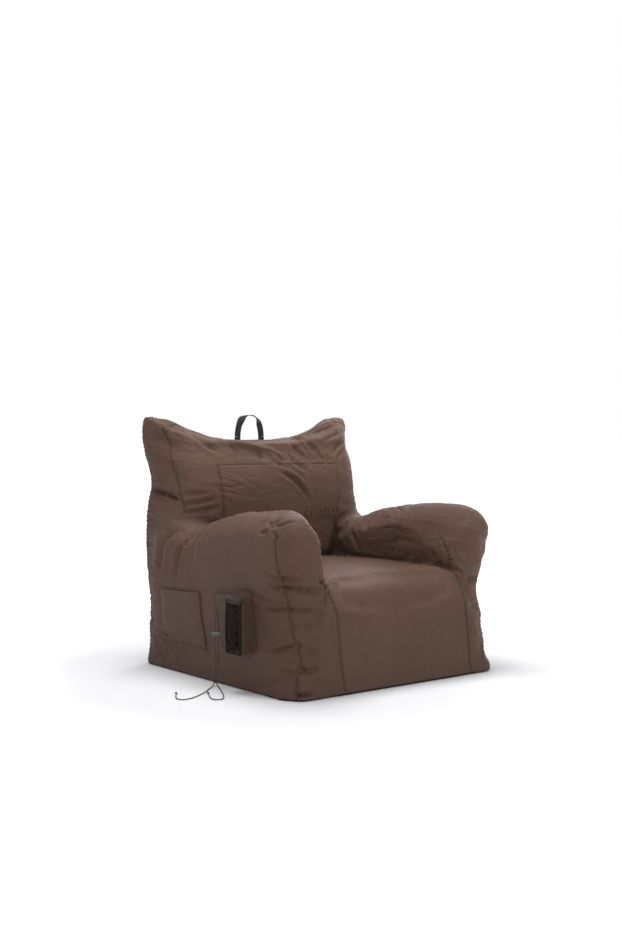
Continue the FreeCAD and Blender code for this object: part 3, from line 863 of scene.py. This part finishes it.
panelList = [
    ("basePanel", "base_cloth", ["base_panel"]),
    ("seatPanel", "cover", ["seat_panel", "seat_bead_fill"]),
    ("armFrontPanelLeft", "cover", ["arm_front_panel_left"]),
    ("armFrontPanelRight", "cover", ["arm_front_panel_right"]),
    ("armSidePanelLeft", "cover", ["arm_side_panel_left", "arm_divider_left", "arm_bead_fill_left"]),
    ("armSidePanelRight", "cover", ["arm_side_panel_right", "arm_divider_right", "arm_bead_fill_right"]),
    ("backFrontPanel", "cover", ["back_front_panel", "back_divider", "back_bead_fill"]),
    ("backGussetLeft", "cover", ["back_gusset_left"]),
    ("backGussetRight", "cover", ["back_gusset_right"]),
    ("rearPanel", "cover", ["rear_panel"]),
]
panelWall = 0.0012


def panelOf(c, n):
    x, y, z = c.T
    which = np.where(x < 0, 4, 5)
    seat = (z < 0.352) & (np.abs(x) < 0.262) & (y < 0.26) & (n[:, 2] > np.abs(n[:, 0]))
    front = (y < -0.30) & (z < 0.34) & (beyond("frontLeft", c) > 0) & (beyond("frontRight", c) < 0)
    seat |= front & ((n[:, 2] > np.abs(n[:, 0]) * 0.6) | (n[:, 1] < -0.5))
    which[seat] = 1
    leftFront = (beyond("frontLeft", c) < 0) & (beyond("cornerLeft", c) < 0) & (beyond("armTipLeft", c) < 0)
    which[leftFront & (x < 0) & (y < -0.29) & (z < 0.49)] = 2
    rightFront = (beyond("frontRight", c) > 0) & (beyond("cornerRight", c) < 0) & (beyond("armTipRight", c) < 0)
    which[rightFront & (x > 0) & (y < -0.29) & (z < 0.49)] = 3
    onBack = (y > 0.15) & (z > 0.335) & (n[:, 1] < -0.15)
    onBack &= (np.abs(x) < 0.262) | (-n[:, 1] > n[:, 2]) | (z > 0.53)
    onBack |= (z > 0.56) & (y > 0.18)
    shoulder = np.where(x < 0, beyond("shoulderLeft", c), beyond("shoulderRight", c))
    behind = beyond("backEdge", c) > 0
    which[onBack & ~(behind & (shoulder < 0))] = 6
    high = behind & (shoulder > 0) & (y < 0.388)
    which[high & (np.abs(n[:, 0]) > 0.62) & (x < 0)] = 7
    which[high & (np.abs(n[:, 0]) > 0.62) & (x > 0)] = 8
    which[(high & (np.abs(n[:, 0]) <= 0.62)) | (y > 0.388)] = 9
    which[z < 0.0062] = 0
    return which


def tidyLabels(mesh, which):
    # a face that none of its neighbours match goes with them
    faces = {}
    for poly in mesh.polygons:
        for key in poly.edge_keys:
            faces.setdefault(key, []).append(poly.index)
    pairs = np.array([f for f in faces.values() if len(f) == 2])
    for _ in range(4):
        votes = np.zeros((len(which), len(panelList)), np.int16)
        np.add.at(votes, (pairs[:, 0], which[pairs[:, 1]]), 1)
        np.add.at(votes, (pairs[:, 1], which[pairs[:, 0]]), 1)
        own = votes[np.arange(len(which)), which]
        lost = own <= 1
        which = np.where(lost, votes.argmax(1), which)
    return which


def partPanels(skin):
    mesh = skin.data
    which = tidyLabels(mesh, panelOf(faceValues(mesh, "center"), faceValues(mesh, "normal")))
    for name, slot, nodes in panelList:
        mesh.materials.append(bpy.data.materials.new("cut_" + name))
    mesh.polygons.foreach_set("material_index", which.astype(np.int32))
    editMode(skin)
    bpy.ops.mesh.separate(type="MATERIAL")
    objectMode()
    parted = {}
    for obj in list(bpy.context.selected_objects):
        cut = obj.data.materials[obj.data.polygons[0].material_index].name[4:]
        parted[cut] = obj
    for name, slot, nodes in panelList:
        obj = parted[name]
        obj.name = name
        obj.data.name = name
        obj.data.polygons.foreach_set("material_index", np.zeros(len(obj.data.polygons), np.int32))
        thicken(obj, panelWall, -1)
        applyAll(obj)
        finish(obj, slot, 60)
        assign(obj, "chair", slot, *nodes)
        print("panel", name, len(obj.data.polygons))


# Stitches: one stitch is modelled, repeated along a row, and laid on the cloth

stitch = dict(length=0.0044, wide=0.0013, pitch=0.0065, rowGap=0.0050, lift=0.0003, sides=6)


def stitchRow(name, tree, line, aside):
    p = stitch
    path = evenly(line, p["pitch"])
    count = len(path)
    deselectAll()
    bpy.ops.mesh.primitive_cylinder_add(vertices=p["sides"], radius=p["wide"] / 2, depth=p["length"],
                                        end_fill_type="NGON", rotation=(0, math.pi / 2, 0))
    row = settle(bpy.context.object)
    row.name = name
    slices(row, (1, 0, 0), [0])
    co = points(row.data)
    thin = 1 - 0.5 * (np.abs(co[:, 0]) / (p["length"] / 2)) ** 2
    co[:, 1:] *= thin[:, None]
    co[:, 2] -= p["wide"] * 0.5 * (1 - thin)
    setPoints(row.data, co)
    each = len(co)
    repeat = row.modifiers.new("repeat", "ARRAY")
    repeat.count = count
    repeat.use_relative_offset = False
    repeat.use_constant_offset = True
    repeat.constant_offset_displace = (p["pitch"], 0, 0)
    applyAll(row)
    local = points(row.data)
    number = np.arange(len(local)) // each
    local[:, 0] -= number * p["pitch"]
    tangent = np.gradient(path, axis=0)
    placed = np.zeros_like(local)
    for k in range(count):
        along = Vector(tangent[k]).normalized()
        normal = tree.find_nearest(Vector(path[k]))[1]
        across = normal.cross(along).normalized()
        place, normal, _, _ = tree.find_nearest(Vector(path[k]) + across * aside)
        across = normal.cross(along).normalized()
        along = across.cross(normal)
        basis = np.array([along, across, normal])
        mine = number == k
        placed[mine] = np.array(place + normal * p["lift"]) + local[mine] @ basis
    setPoints(row.data, placed)
    return row


def sewTogether(rows, name):
    piece = joinAll(rows, name)
    finish(piece, "thread", None)
    assign(piece, "chair", "cover")
    return piece


def sewSeams(tree, lines, plan):
    for name, rows in plan.items():
        line = lines[name][0]
        sewTogether([stitchRow("row", tree, line, aside) for aside in rows], "stitches_" + name)


# Cloth patches: flat cuts laid on the skin, with a sewn line just inside their edges

patches = {
    "backPatch": dict(on="back", corners=[(-0.236, 0.462), (0.246, 0.470), (0.262, 0.656), (-0.244, 0.660)],
                      cells=(150, 62), lift=0.0016, bulge=0.0, corner=0.0, node="back_patch", open=False),
    "patchPocket": dict(on="side", corners=[(0.294, 0.092), (0.032, 0.094), (0.073, 0.269), (0.309, 0.256)],
                        cells=(90, 62), lift=0.0022, bulge=0.004, corner=0.30, node="patch_pocket", open=True),
    "holderPatch": dict(on="side", corners=[(-0.055, 0.112), (-0.236, 0.128), (-0.205, 0.298), (-0.003, 0.277)],
                        cells=(66, 60), lift=0.0018, bulge=0.0, corner=0.0, node="holder_patch", open=False),
}
patchEdge = dict(inset=0.0045, groove=0.0020, width=0.0022, thickness=0.0012)


def layPatch(name, tree):
    p = patches[name]
    piece, share = grid(name, p["cells"])
    uv = share.copy()
    if p["corner"]:
        # rounds the first corner of the cut
        a = np.clip(p["corner"] - uv[:, 0], 0, None)
        b = np.clip(p["corner"] * 1.4 - uv[:, 1], 0, None) / 1.4
        both = (a > 0) & (b > 0)
        shrink = np.where(both, np.maximum(a, b) / np.maximum(np.hypot(a, b), 1e-9), 1)
        uv[:, 0] += a * (1 - shrink)
        uv[:, 1] += 1.4 * b * (1 - shrink)
    q = np.array(p["corners"])
    u = uv[:, :1]
    v = uv[:, 1:]
    flat = q[0] * (1 - u) * (1 - v) + q[1] * u * (1 - v) + q[2] * u * v + q[3] * (1 - u) * v
    wide = np.linalg.norm(q[1] - q[0])
    tall = np.linalg.norm(q[3] - q[0])
    ends = share[:, 1] if p["open"] else np.minimum(share[:, 1], 1 - share[:, 1])
    edge = np.minimum(np.minimum(share[:, 0], 1 - share[:, 0]) * wide, ends * tall)
    sewn = -patchEdge["groove"] * np.exp(-((edge - patchEdge["inset"]) / patchEdge["width"]) ** 2)
    full = p["bulge"] * ramp(edge, 0.004, 0.05)
    co = np.zeros((len(flat), 3))
    for i, point in enumerate(flat):
        place, normal = onSkin(tree, p["on"], point)
        co[i] = place + normal * (p["lift"] + sewn[i] + full[i])
    setPoints(piece.data, co)
    # the grid's front must look outwards
    outward = {"back": 1, "side": 0}[p["on"]]
    if faceValues(piece.data, "normal")[:, outward].mean() > 0:
        flip(piece)
    thicken(piece, patchEdge["thickness"], 1)
    applyAll(piece)
    finish(piece, "cover")
    assign(piece, "chair", "cover", p["node"])
    patchTree = treeOf(piece)
    rows = []
    middle = q.mean(0)
    for number in (0, 1, 3) if p["open"] else range(4):
        a, b = q[number], q[(number + 1) % 4]
        start = a + (middle - a) / np.linalg.norm(middle - a) * patchEdge["inset"] * 1.5
        stop = b + (middle - b) / np.linalg.norm(middle - b) * patchEdge["inset"] * 1.5
        if p["corner"] and number == 0:
            start = start + (b - a) * p["corner"]
        if p["corner"] and number == 3:
            stop = stop - (b - a) * p["corner"]
        flatLine = evenly(np.array([start, stop]), 0.006)
        line = np.array([onSkin(patchTree, p["on"], point)[0] for point in flatLine])
        rows.append(stitchRow("row", patchTree, line, 0.0))
    sewnRows = sewTogether(rows, "stitches_" + name)
    print("patch", name, round(float(wide), 3), round(float(tall), 3))


# Ribbons: webbing, tapes and net cords are flat strips along a path

def ribbon(name, path, across, width, thickness, ridge, slot):
    # path and across are arrays; ridge is how many cells lie across the strip
    count = len(path)
    strip, uv = grid(name, (count - 1, ridge))
    number = np.clip(np.round(uv[:, 0] * (count - 1)).astype(int), 0, count - 1)
    setPoints(strip.data, path[number] + across[number] * ((uv[:, 1] - 0.5) * width)[:, None])
    thicken(strip, thickness, 0)
    soft = strip.modifiers.new("soft", "BEVEL")
    soft.width = thickness * 0.3
    soft.segments = 2
    soft.limit_method = "ANGLE"
    soft.angle_limit = math.radians(60)
    applyAll(strip)
    finish(strip, slot)
    return strip


handle = dict(
    width=0.024, thickness=0.0016, shift=-0.010, y=0.376, turnFrom=0.62, steps=64, anchorLow=0.716, anchorSteps=10,
    side=[(-0.0500, 0.7478), (-0.0495, 0.7560), (-0.0470, 0.7740), (-0.0415, 0.7930),
          (-0.0330, 0.8080), (-0.0230, 0.8170), (-0.0120, 0.8212), (0.0, 0.8222)],
)


def smoothRoute(table, count):
    # a smooth line through a few points, as an array
    obj, curve, spline = nurbs("route", table, 3, 12)
    spline.use_endpoint_u = True
    bpy.context.view_layer.update()
    mesh = bpy.data.meshes.new_from_object(obj)
    line = points(mesh)
    bpy.data.objects.remove(obj)
    bpy.data.meshes.remove(mesh)
    return evenly(line, lengthOf(line) / count)


def buildHandle():
    p = handle
    left = [(x + p["shift"], p["y"], z) for x, z in p["side"]]
    right = [(2 * p["shift"] - x, y, z) for x, y, z in reversed(left[:-1])]
    path = smoothRoute(left + right, p["steps"])
    tangent = tangents(path)
    inPlane = np.stack([-tangent[:, 2], np.zeros(len(path)), tangent[:, 0]], axis=1)
    half = np.abs(np.linspace(-1, 1, len(path)))
    turn = (1 - ramp(half, 0.10, p["turnFrom"])) * math.pi / 2
    across = inPlane * np.cos(turn)[:, None] + np.array([[0, 1, 0]]) * np.sin(turn)[:, None]
    loop = ribbon("carryHandle", path, across, p["width"], p["thickness"], 6, "webbing")
    assign(loop, "handle", "webbing", "carry_handle")
    stubs = []
    for side in (-1, 1):
        x = p["shift"] + side * abs(p["side"][0][0])
        z = np.linspace(p["anchorLow"], p["side"][0][1], p["anchorSteps"])
        line = np.stack([np.full_like(z, x), np.full_like(z, p["y"]), z], axis=1)
        across = np.tile([[1.0, 0, 0]], (len(z), 1))
        stubs.append(ribbon("stub", line, across, p["width"], p["thickness"] * 1.5, 6, "webbing"))
    anchors = joinAll(stubs, "handleAnchors")
    assign(anchors, "chair", "webbing", "handle_anchors")


# Drink holder: a gusset stands off the patch and carries a net, with a hem for the drawcord

holder = dict(
    y=(-0.2175, -0.1415), z=(0.1165, 0.264), faceX=-0.4618, corner=0.012,
    gussetWall=0.0012, gussetFlat=0.048, gussetSteps=90, netCell=(0.038, 0.062), netCord=0.0046, netThick=0.0011,
    netSteps=56, rim=0.0042, rimThick=0.0016,
    hemHeight=0.011, hemDepth=0.0062, hemRound=0.0022,
)


def buildGusset(tree):
    p = holder
    y0, y1 = p["y"]
    z0, z1 = p["z"]
    c = p["corner"]
    route = [(0, y1, z1), (0, y1, (z0 + z1) / 2), (0, y1, z0 + c), (0, y1 - 0.15 * c, z0 + 0.15 * c),
             (0, y1 - c, z0), (0, (y0 + y1) / 2, z0), (0, y0 + c, z0),
             (0, y0 + 0.15 * c, z0 + 0.15 * c), (0, y0, z0 + c), (0, y0, (z0 + z1) / 2), (0, y0, z1)]
    path = smoothRoute(route, p["gussetSteps"])
    piece, uv = grid("holderGusset", (len(path) - 1, 14))
    number = np.clip(np.round(uv[:, 0] * (len(path) - 1)).astype(int), 0, len(path) - 1)
    co = path[number].copy()
    out = uv[:, 1]
    tangent = tangents(path)[number]
    outward = np.stack([np.zeros(len(co)), tangent[:, 2], -tangent[:, 1]], axis=1)
    for i in range(len(co)):
        start = onSkin(tree, "side", (co[i, 1], co[i, 2]))[0].x + 0.002
        co[i, 0] = start + (p["faceX"] - start) * out[i]
        wave = noise.noise(Vector((co[i, 0] * 60, co[i, 1] * 40, co[i, 2] * 40)))
        belly = 0.0020 * math.sin(math.pi * out[i]) + 0.0016 * wave * math.sin(math.pi * out[i])
        co[i] += outward[i] * belly
    setPoints(piece.data, co)
    thicken(piece, p["gussetWall"], 0)
    applyAll(piece)
    finish(piece, "cover")
    assign(piece, "chair", "cover", "holder_gusset")


def buildNet():
    p = holder
    y0, y1 = p["y"]
    z0, z1 = p["z"]
    cellY, cellZ = p["netCell"]
    x = p["faceX"] - 0.0004
    steps = p["netSteps"]
    cords = []
    for side in (-1, 1):
        for k in range(3):
            z = np.linspace(z0, z1, steps)
            swing = np.arcsin(np.sin(2 * math.pi * (z - z0) / cellZ)) / math.pi
            y = y0 + k * cellY + side * swing * cellY
            y = np.clip(y, y0, y1)
            bow = 0.0022 * np.sin(math.pi * (z - z0) / (z1 - z0))
            lineX = x - bow + side * 0.0002
            line = np.stack([lineX, y, z], axis=1)
            tangent = tangents(line)
            across = np.stack([np.zeros(steps), -tangent[:, 2], tangent[:, 1]], axis=1)
            cords.append(ribbon("cord", line, across, p["netCord"], p["netThick"], 2, "net"))
    # a bound edge down both sides and along the bottom
    rim = [(x, y1, z1), (x, y1, z0), (x, y0, z0), (x, y0, z1)]
    for a, b in zip(rim[:-1], rim[1:]):
        line = evenly(np.array([a, b], float), 0.006)
        d = (line[-1] - line[0]) / np.linalg.norm(line[-1] - line[0])
        across = np.tile([[0, -d[2], d[1]]], (len(line), 1))
        cords.append(ribbon("cord", line, across, p["rim"], p["rimThick"], 3, "net"))
    net = joinAll(cords, "holderNet")
    assign(net, "chair", "net", "holder_mesh")
    print("net", len(net.data.polygons))


def buildHem():
    p = holder
    y0, y1 = p["y"]
    z1 = p["z"][1]
    hem = block("holderHem", (p["faceX"] - p["hemDepth"], p["faceX"]), (y0, y1), (z1, z1 + p["hemHeight"]))
    slices(hem, (0, 1, 0), [y0 + (y1 - y0) * index / 16 for index in range(1, 16)])
    edges = hem.modifiers.new("round", "BEVEL")
    edges.width = p["hemRound"]
    edges.segments = 3
    edges.limit_method = "ANGLE"
    edges.angle_limit = math.radians(60)
    applyAll(hem)
    co = points(hem.data)
    for i in range(len(co)):
        co[i, 0] += 0.0007 * noise.noise(Vector((co[i, 1] * 90, co[i, 2] * 60, 1)))
        co[i, 2] += 0.0012 * noise.noise(Vector((co[i, 1] * 70, 3, 1)))
    setPoints(hem.data, co)
    finish(hem, "webbing")
    assign(hem, "chair", "webbing", "holder_hem")


# Knots: a small cord loop pulled tight

knots = {
    "tieKnot": dict(at=(-0.4472, -0.0605, 0.0142), size=0.00165, cord=0.0015, turn=(0.4, 0.2, 0.0),
                    node="tie_knot"),
    "endKnotRear": dict(at=(-0.6056, -0.0919, 0.0045), size=0.00105, cord=0.0016, turn=(0.3, 0.5, 0.6),
                        node="end_knot_rear"),
    "endKnotFront": dict(at=(-0.5319, -0.1498, 0.0045), size=0.00105, cord=0.0016, turn=(0.8, 0.1, 1.9),
                         node="end_knot_front"),
}


def buildKnot(name):
    p = knots[name]
    count = 18
    route = []
    for k in range(count):
        t = 2 * math.pi * k / count
        x = math.sin(t) + 2 * math.sin(2 * t)
        y = math.cos(t) - 2 * math.cos(2 * t)
        route.append(Vector((x, y, -math.sin(3 * t) * 1.3)) * p["size"])
    knot, curve, spline = nurbs(name, route, 4, 5)
    spline.use_cyclic_u = True
    curve.bevel_depth = p["cord"]
    curve.bevel_resolution = 3
    knot.location = p["at"]
    knot.rotation_euler = p["turn"]
    activate(knot)
    bpy.ops.object.convert(target="MESH")
    knot = settle(bpy.context.object)
    co = points(knot.data)
    co[:, 2] = np.maximum(co[:, 2], 0.0003)
    setPoints(knot.data, co)
    finish(knot, "drawcord", None)
    bpy.ops.object.shade_smooth()
    assign(knot, "chair", "drawcord", p["node"])
    return knot


def buildZipTapes():
    p = zipSizes["tape"]
    for name, (z, node) in zipSizes["tapes"].items():
        x = np.linspace(-p["half"], p["half"], p["steps"])
        line = np.stack([x, np.full_like(x, p["y"]), z + 0.0004 * np.sin(x * 60)], axis=1)
        across = np.tile([[0, 0, 1.0]], (len(x), 1))
        tape = ribbon(name, line, across, p["width"], p["thickness"], 4, "zip_tape")
        assign(tape, "chair", "zip_tape", node)


# Spring of the cord lock: a copy of its solid, carried with the lock

lockSpring = dict(node="cord_lock_spring", axis=(-0.70710678, 0.70710678, 0), fixed=(-0.45549, -0.06051, 0.159),
                  press=0.003)


def buildSpring():
    p = lockSpring
    source = bpy.data.objects[p["node"]]
    spring = source.copy()
    spring.data = source.data.copy()
    spring.name = "lockSpring"
    for key in list(spring.keys()):
        if key.startswith("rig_"):
            del spring[key]
    bpy.context.scene.collection.objects.link(spring)
    editMode(spring)
    bpy.ops.mesh.remove_doubles(threshold=0.000001)
    objectMode()
    settle(spring)
    finish(spring, "spring_steel")
    assign(spring, "lock", "spring_steel", p["node"])
    reach = np.abs((points(spring.data) - np.array(p["fixed"])) @ np.array(p["axis"])).max()
    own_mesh(spring)
    print("spring", round(float(reach), 4))
    return spring


# Finishes

def makeGroup(name, inputs, outputs):
    group = bpy.data.node_groups.new(name, "ShaderNodeTree")
    for label, kind, value in inputs:
        socket = group.interface.new_socket(name=label, in_out="INPUT", socket_type=kind)
        if value is not None:
            socket.default_value = value
    for label, kind in outputs:
        group.interface.new_socket(name=label, in_out="OUTPUT", socket_type=kind)
    return group, group.nodes.new("NodeGroupInput"), group.nodes.new("NodeGroupOutput")


def mathNode(nodes, links, operation, a, b=None):
    node = nodes.new("ShaderNodeMath")
    node.operation = operation
    for socket, value in zip(node.inputs, (a, b)):
        if value is None:
            continue
        if isinstance(value, (int, float)):
            socket.default_value = value
        else:
            links.new(value, socket)
    return node.outputs[0]


def noiseNode(nodes, links, vector, scale, detail, rough=0.5):
    node = nodes.new("ShaderNodeTexNoise")
    node.inputs["Detail"].default_value = detail
    node.inputs["Roughness"].default_value = rough
    links.new(vector, node.inputs["Vector"])
    if isinstance(scale, (int, float)):
        node.inputs["Scale"].default_value = scale
    else:
        links.new(scale, node.inputs["Scale"])
    return node.outputs["Fac"]


def weaveGroup():
    # threads crossing at right angles, over whichever two axes the cloth faces
    group, start, end = makeGroup("wovenThreads", [("Threads per metre", "NodeSocketFloat", 900.0)],
                                  [("Height", "NodeSocketFloat"), ("Streak", "NodeSocketFloat")])
    nodes, links = group.nodes, group.links
    place = nodes.new("ShaderNodeTexCoord").outputs["Object"]
    split = nodes.new("ShaderNodeSeparateXYZ")
    links.new(place, split.inputs[0])
    turn = mathNode(nodes, links, "MULTIPLY", start.outputs["Threads per metre"], 2 * math.pi)
    waves = []
    for axis in range(3):
        angle = mathNode(nodes, links, "MULTIPLY", split.outputs[axis], turn)
        waves.append(mathNode(nodes, links, "SINE", angle))
    level = mathNode(nodes, links, "ADD", waves[0], waves[1])
    height = mathNode(nodes, links, "MULTIPLY", level, waves[2])
    links.new(height, end.inputs["Height"])
    upright = noiseNode(nodes, links, stretchNode(nodes, links, place, (1.0, 1.0, 0.05)), 260.0, 2.0)
    flat = noiseNode(nodes, links, stretchNode(nodes, links, place, (0.05, 0.05, 1.0)), 300.0, 2.0)
    links.new(mathNode(nodes, links, "ADD", upright, flat), end.inputs["Streak"])
    return group


def crumpleGroup():
    # small creases of thin cloth: ridged noise, long side level
    group, start, end = makeGroup("fineCreases", [("Scale", "NodeSocketFloat", 30.0)],
                                  [("Height", "NodeSocketFloat"), ("Tone", "NodeSocketFloat")])
    nodes, links = group.nodes, group.links
    place = nodes.new("ShaderNodeTexCoord").outputs["Object"]
    stretched = stretchNode(nodes, links, place, (0.8, 0.8, 1.7), (0.15, 0.1, 0.0))
    wide = noiseNode(nodes, links, stretched, start.outputs["Scale"], 4.0, 0.55)
    centred = mathNode(nodes, links, "SUBTRACT", wide, 0.5)
    ridged = mathNode(nodes, links, "ABSOLUTE", centred)
    patchy = noiseNode(nodes, links, place, 6.0, 2.0)
    strength = mathNode(nodes, links, "POWER", patchy, 1.6)
    links.new(mathNode(nodes, links, "MULTIPLY", ridged, strength), end.inputs["Height"])
    links.new(noiseNode(nodes, links, place, 4.0, 3.0), end.inputs["Tone"])
    return group


def placeGroup(material, group, **values):
    node = material.node_tree.nodes.new("ShaderNodeGroup")
    node.node_tree = group
    for label, value in values.items():
        node.inputs[label.replace("_", " ")].default_value = value
    return node


def clothFinish(name, colour, shade, threads, weaveDepth, creaseDepth, rough, specular, sheen, tint=(1, 1, 1)):
    material, nodes, links, shader = startMaterial(name, {
        "Specular IOR Level": specular, "Specular Tint": (*tint, 1),
        "Sheen Weight": sheen, "Sheen Roughness": 0.45, "Sheen Tint": (*tint, 1),
    })
    weave = placeGroup(material, groups["weave"], Threads_per_metre=threads)
    crease = placeGroup(material, groups["crease"], Scale=26.0)
    tone = mathNode(nodes, links, "ADD", mathNode(nodes, links, "MULTIPLY", weave.outputs["Streak"], 0.45),
                    mathNode(nodes, links, "MULTIPLY", crease.outputs["Tone"], 0.75))
    share = spreadNode(nodes, links, tone, {"From Min": 0.55, "From Max": 1.1})
    links.new(mixNode(nodes, links, share, colour, shade), shader.inputs["Base Color"])
    worn = spreadNode(nodes, links, crease.outputs["Tone"], {"To Min": rough - 0.06, "To Max": rough + 0.08})
    links.new(worn, shader.inputs["Roughness"])
    fine = bumpNode(nodes, links, weave.outputs["Height"], 0.6, weaveDepth)
    broad = bumpNode(nodes, links, crease.outputs["Height"], 1.0, creaseDepth)
    links.new(fine.outputs["Normal"], broad.inputs["Normal"])
    links.new(broad.outputs["Normal"], shader.inputs["Normal"])
    return material


def hardFinish(name, colour, rough, metallic, specular, bump):
    material, nodes, links, shader = startMaterial(name, {"Metallic": metallic, "Specular IOR Level": specular})
    grain = noiseNode(nodes, links, nodes.new("ShaderNodeTexCoord").outputs["Object"], 900.0, 3.0)
    pale = [min(1, c * 1.12) for c in colour]
    tone = mixNode(nodes, links, grain, [c * 0.85 for c in colour], pale)
    links.new(tone, shader.inputs["Base Color"])
    worn = spreadNode(nodes, links, grain, {"To Min": rough - 0.08, "To Max": rough + 0.10})
    links.new(worn, shader.inputs["Roughness"])
    marks = bumpNode(nodes, links, grain, 0.4, bump)
    links.new(marks.outputs["Normal"], shader.inputs["Normal"])
    return material


groups = dict(weave=weaveGroup(), crease=crumpleGroup())
warm = (0.90, 0.68, 0.58)
finishes = {
    "cover": clothFinish("brownNylon", (0.096, 0.0570, 0.0425), (0.080, 0.0470, 0.0345), 700.0, 0.0002, 0.016,
                         0.60, 0.22, 0.03, warm),
    "base_cloth": clothFinish("blackBaseCloth", (0.012, 0.011, 0.011), (0.02, 0.018, 0.017), 500.0, 0.0004, 0.002,
                              0.80, 0.15, 0.0),
    "net": clothFinish("blackNet", (0.006, 0.006, 0.006), (0.011, 0.010, 0.011), 1500.0, 0.0003, 0.0,
                       0.70, 0.12, 0.0),
    "webbing": clothFinish("blackWebbing", (0.011, 0.011, 0.013), (0.024, 0.024, 0.028), 420.0, 0.0006, 0.0,
                           0.65, 0.25, 0.03),
    "thread": clothFinish("darkThread", (0.014, 0.009, 0.007), (0.020, 0.013, 0.010), 1500.0, 0.0001, 0.0,
                          0.60, 0.20, 0.0),
    "drawcord": clothFinish("greyCord", (0.105, 0.093, 0.088), (0.055, 0.047, 0.044), 800.0, 0.0005, 0.0,
                            0.70, 0.25, 0.05),
    "zip_tape": clothFinish("zipTape", (0.060, 0.036, 0.025), (0.075, 0.046, 0.033), 900.0, 0.0003, 0.0,
                            0.70, 0.20, 0.0),
    "lining": clothFinish("lining", (0.20, 0.16, 0.13), (0.24, 0.19, 0.16), 900.0, 0.0002, 0.002, 0.80, 0.15, 0.0),
    "beads": clothFinish("beadFill", (0.85, 0.85, 0.84), (0.93, 0.93, 0.92), 300.0, 0.001, 0.0, 0.70, 0.30, 0.0),
    "toggle_plastic": hardFinish("togglePlastic", (0.085, 0.105, 0.085), 0.38, 0.0, 0.5, 0.00005),
    "spring_steel": hardFinish("springSteel", (0.55, 0.55, 0.56), 0.32, 1.0, 0.5, 0.00003),
    "zip_metal": hardFinish("zipMetal", (0.33, 0.28, 0.23), 0.36, 1.0, 0.5, 0.00004),
    "zip_plastic": hardFinish("zipPlastic", (0.070, 0.043, 0.031), 0.42, 0.0, 0.45, 0.00004),
}


def dressFrame():
    # CAD nodes that stay in sight take the finished materials
    for node in frame["nodes"]:
        obj = bpy.data.objects.get(node)
        if obj is None:
            continue
        for slot in obj.material_slots:
            key = slot.material.name.split(".")[0] if slot.material else ""
            if key in finishes:
                slot.material = finishes[key]


# Making

buildStudio()
dressFrame()
rearCord = buildCord("drawcordRear", rearTail, finishes["drawcord"])
frontCord = buildCord("drawcordFront", frontTail, finishes["drawcord"])
skin = buildSkin()
inflate(skin)
shapeBase(skin.data)
finer = skin.modifiers.new("finer", "SUBSURF")
finer.levels = 1
finer.render_levels = 1
applyAll(skin)
loosen(skin.data)
pressFolds(skin)
seamLines = cutSeams(skin)
pressSeams(skin.data, seamLines)
pressZip(skin.data)
skinTree = treeOf(skin)
print("skin shaped", len(skin.data.polygons))
half = stitch["rowGap"] / 2
sewSeams(skinTree, seamLines, {
    "frontLeft": (-half, half), "frontRight": (-half, half), "cornerLeft": (-half, half),
    "cornerRight": (-half, half), "backEdge": (-half, half),
    "shoulderLeft": (half,), "shoulderRight": (half,),
})
print("seams sewn")
layPatch("backPatch", skinTree)
layPatch("patchPocket", skinTree)
layPatch("holderPatch", skinTree)
buildGusset(skinTree)
buildNet()
buildHem()
buildHandle()
buildZipTapes()
knotPieces = {name: buildKnot(name) for name in knots}
partPanels(skin)
print("panels parted")

lock = [bpy.data.objects[name] for name in ("cord_lock_body", "cord_lock_button")]
lock.append(buildSpring())
for cord, length, gone, on in ((rearCord, 0.661, ["drawcord_tail_rear"], [knotPieces["endKnotRear"], *lock]),
                               (frontCord, 0.649, ["drawcord_tail_front"],
                                [knotPieces["endKnotFront"], knotPieces["tieKnot"]])):
    assign(cord, "chair", "drawcord", *gone)
print("cords laid")

bpy.context.view_layer.update()
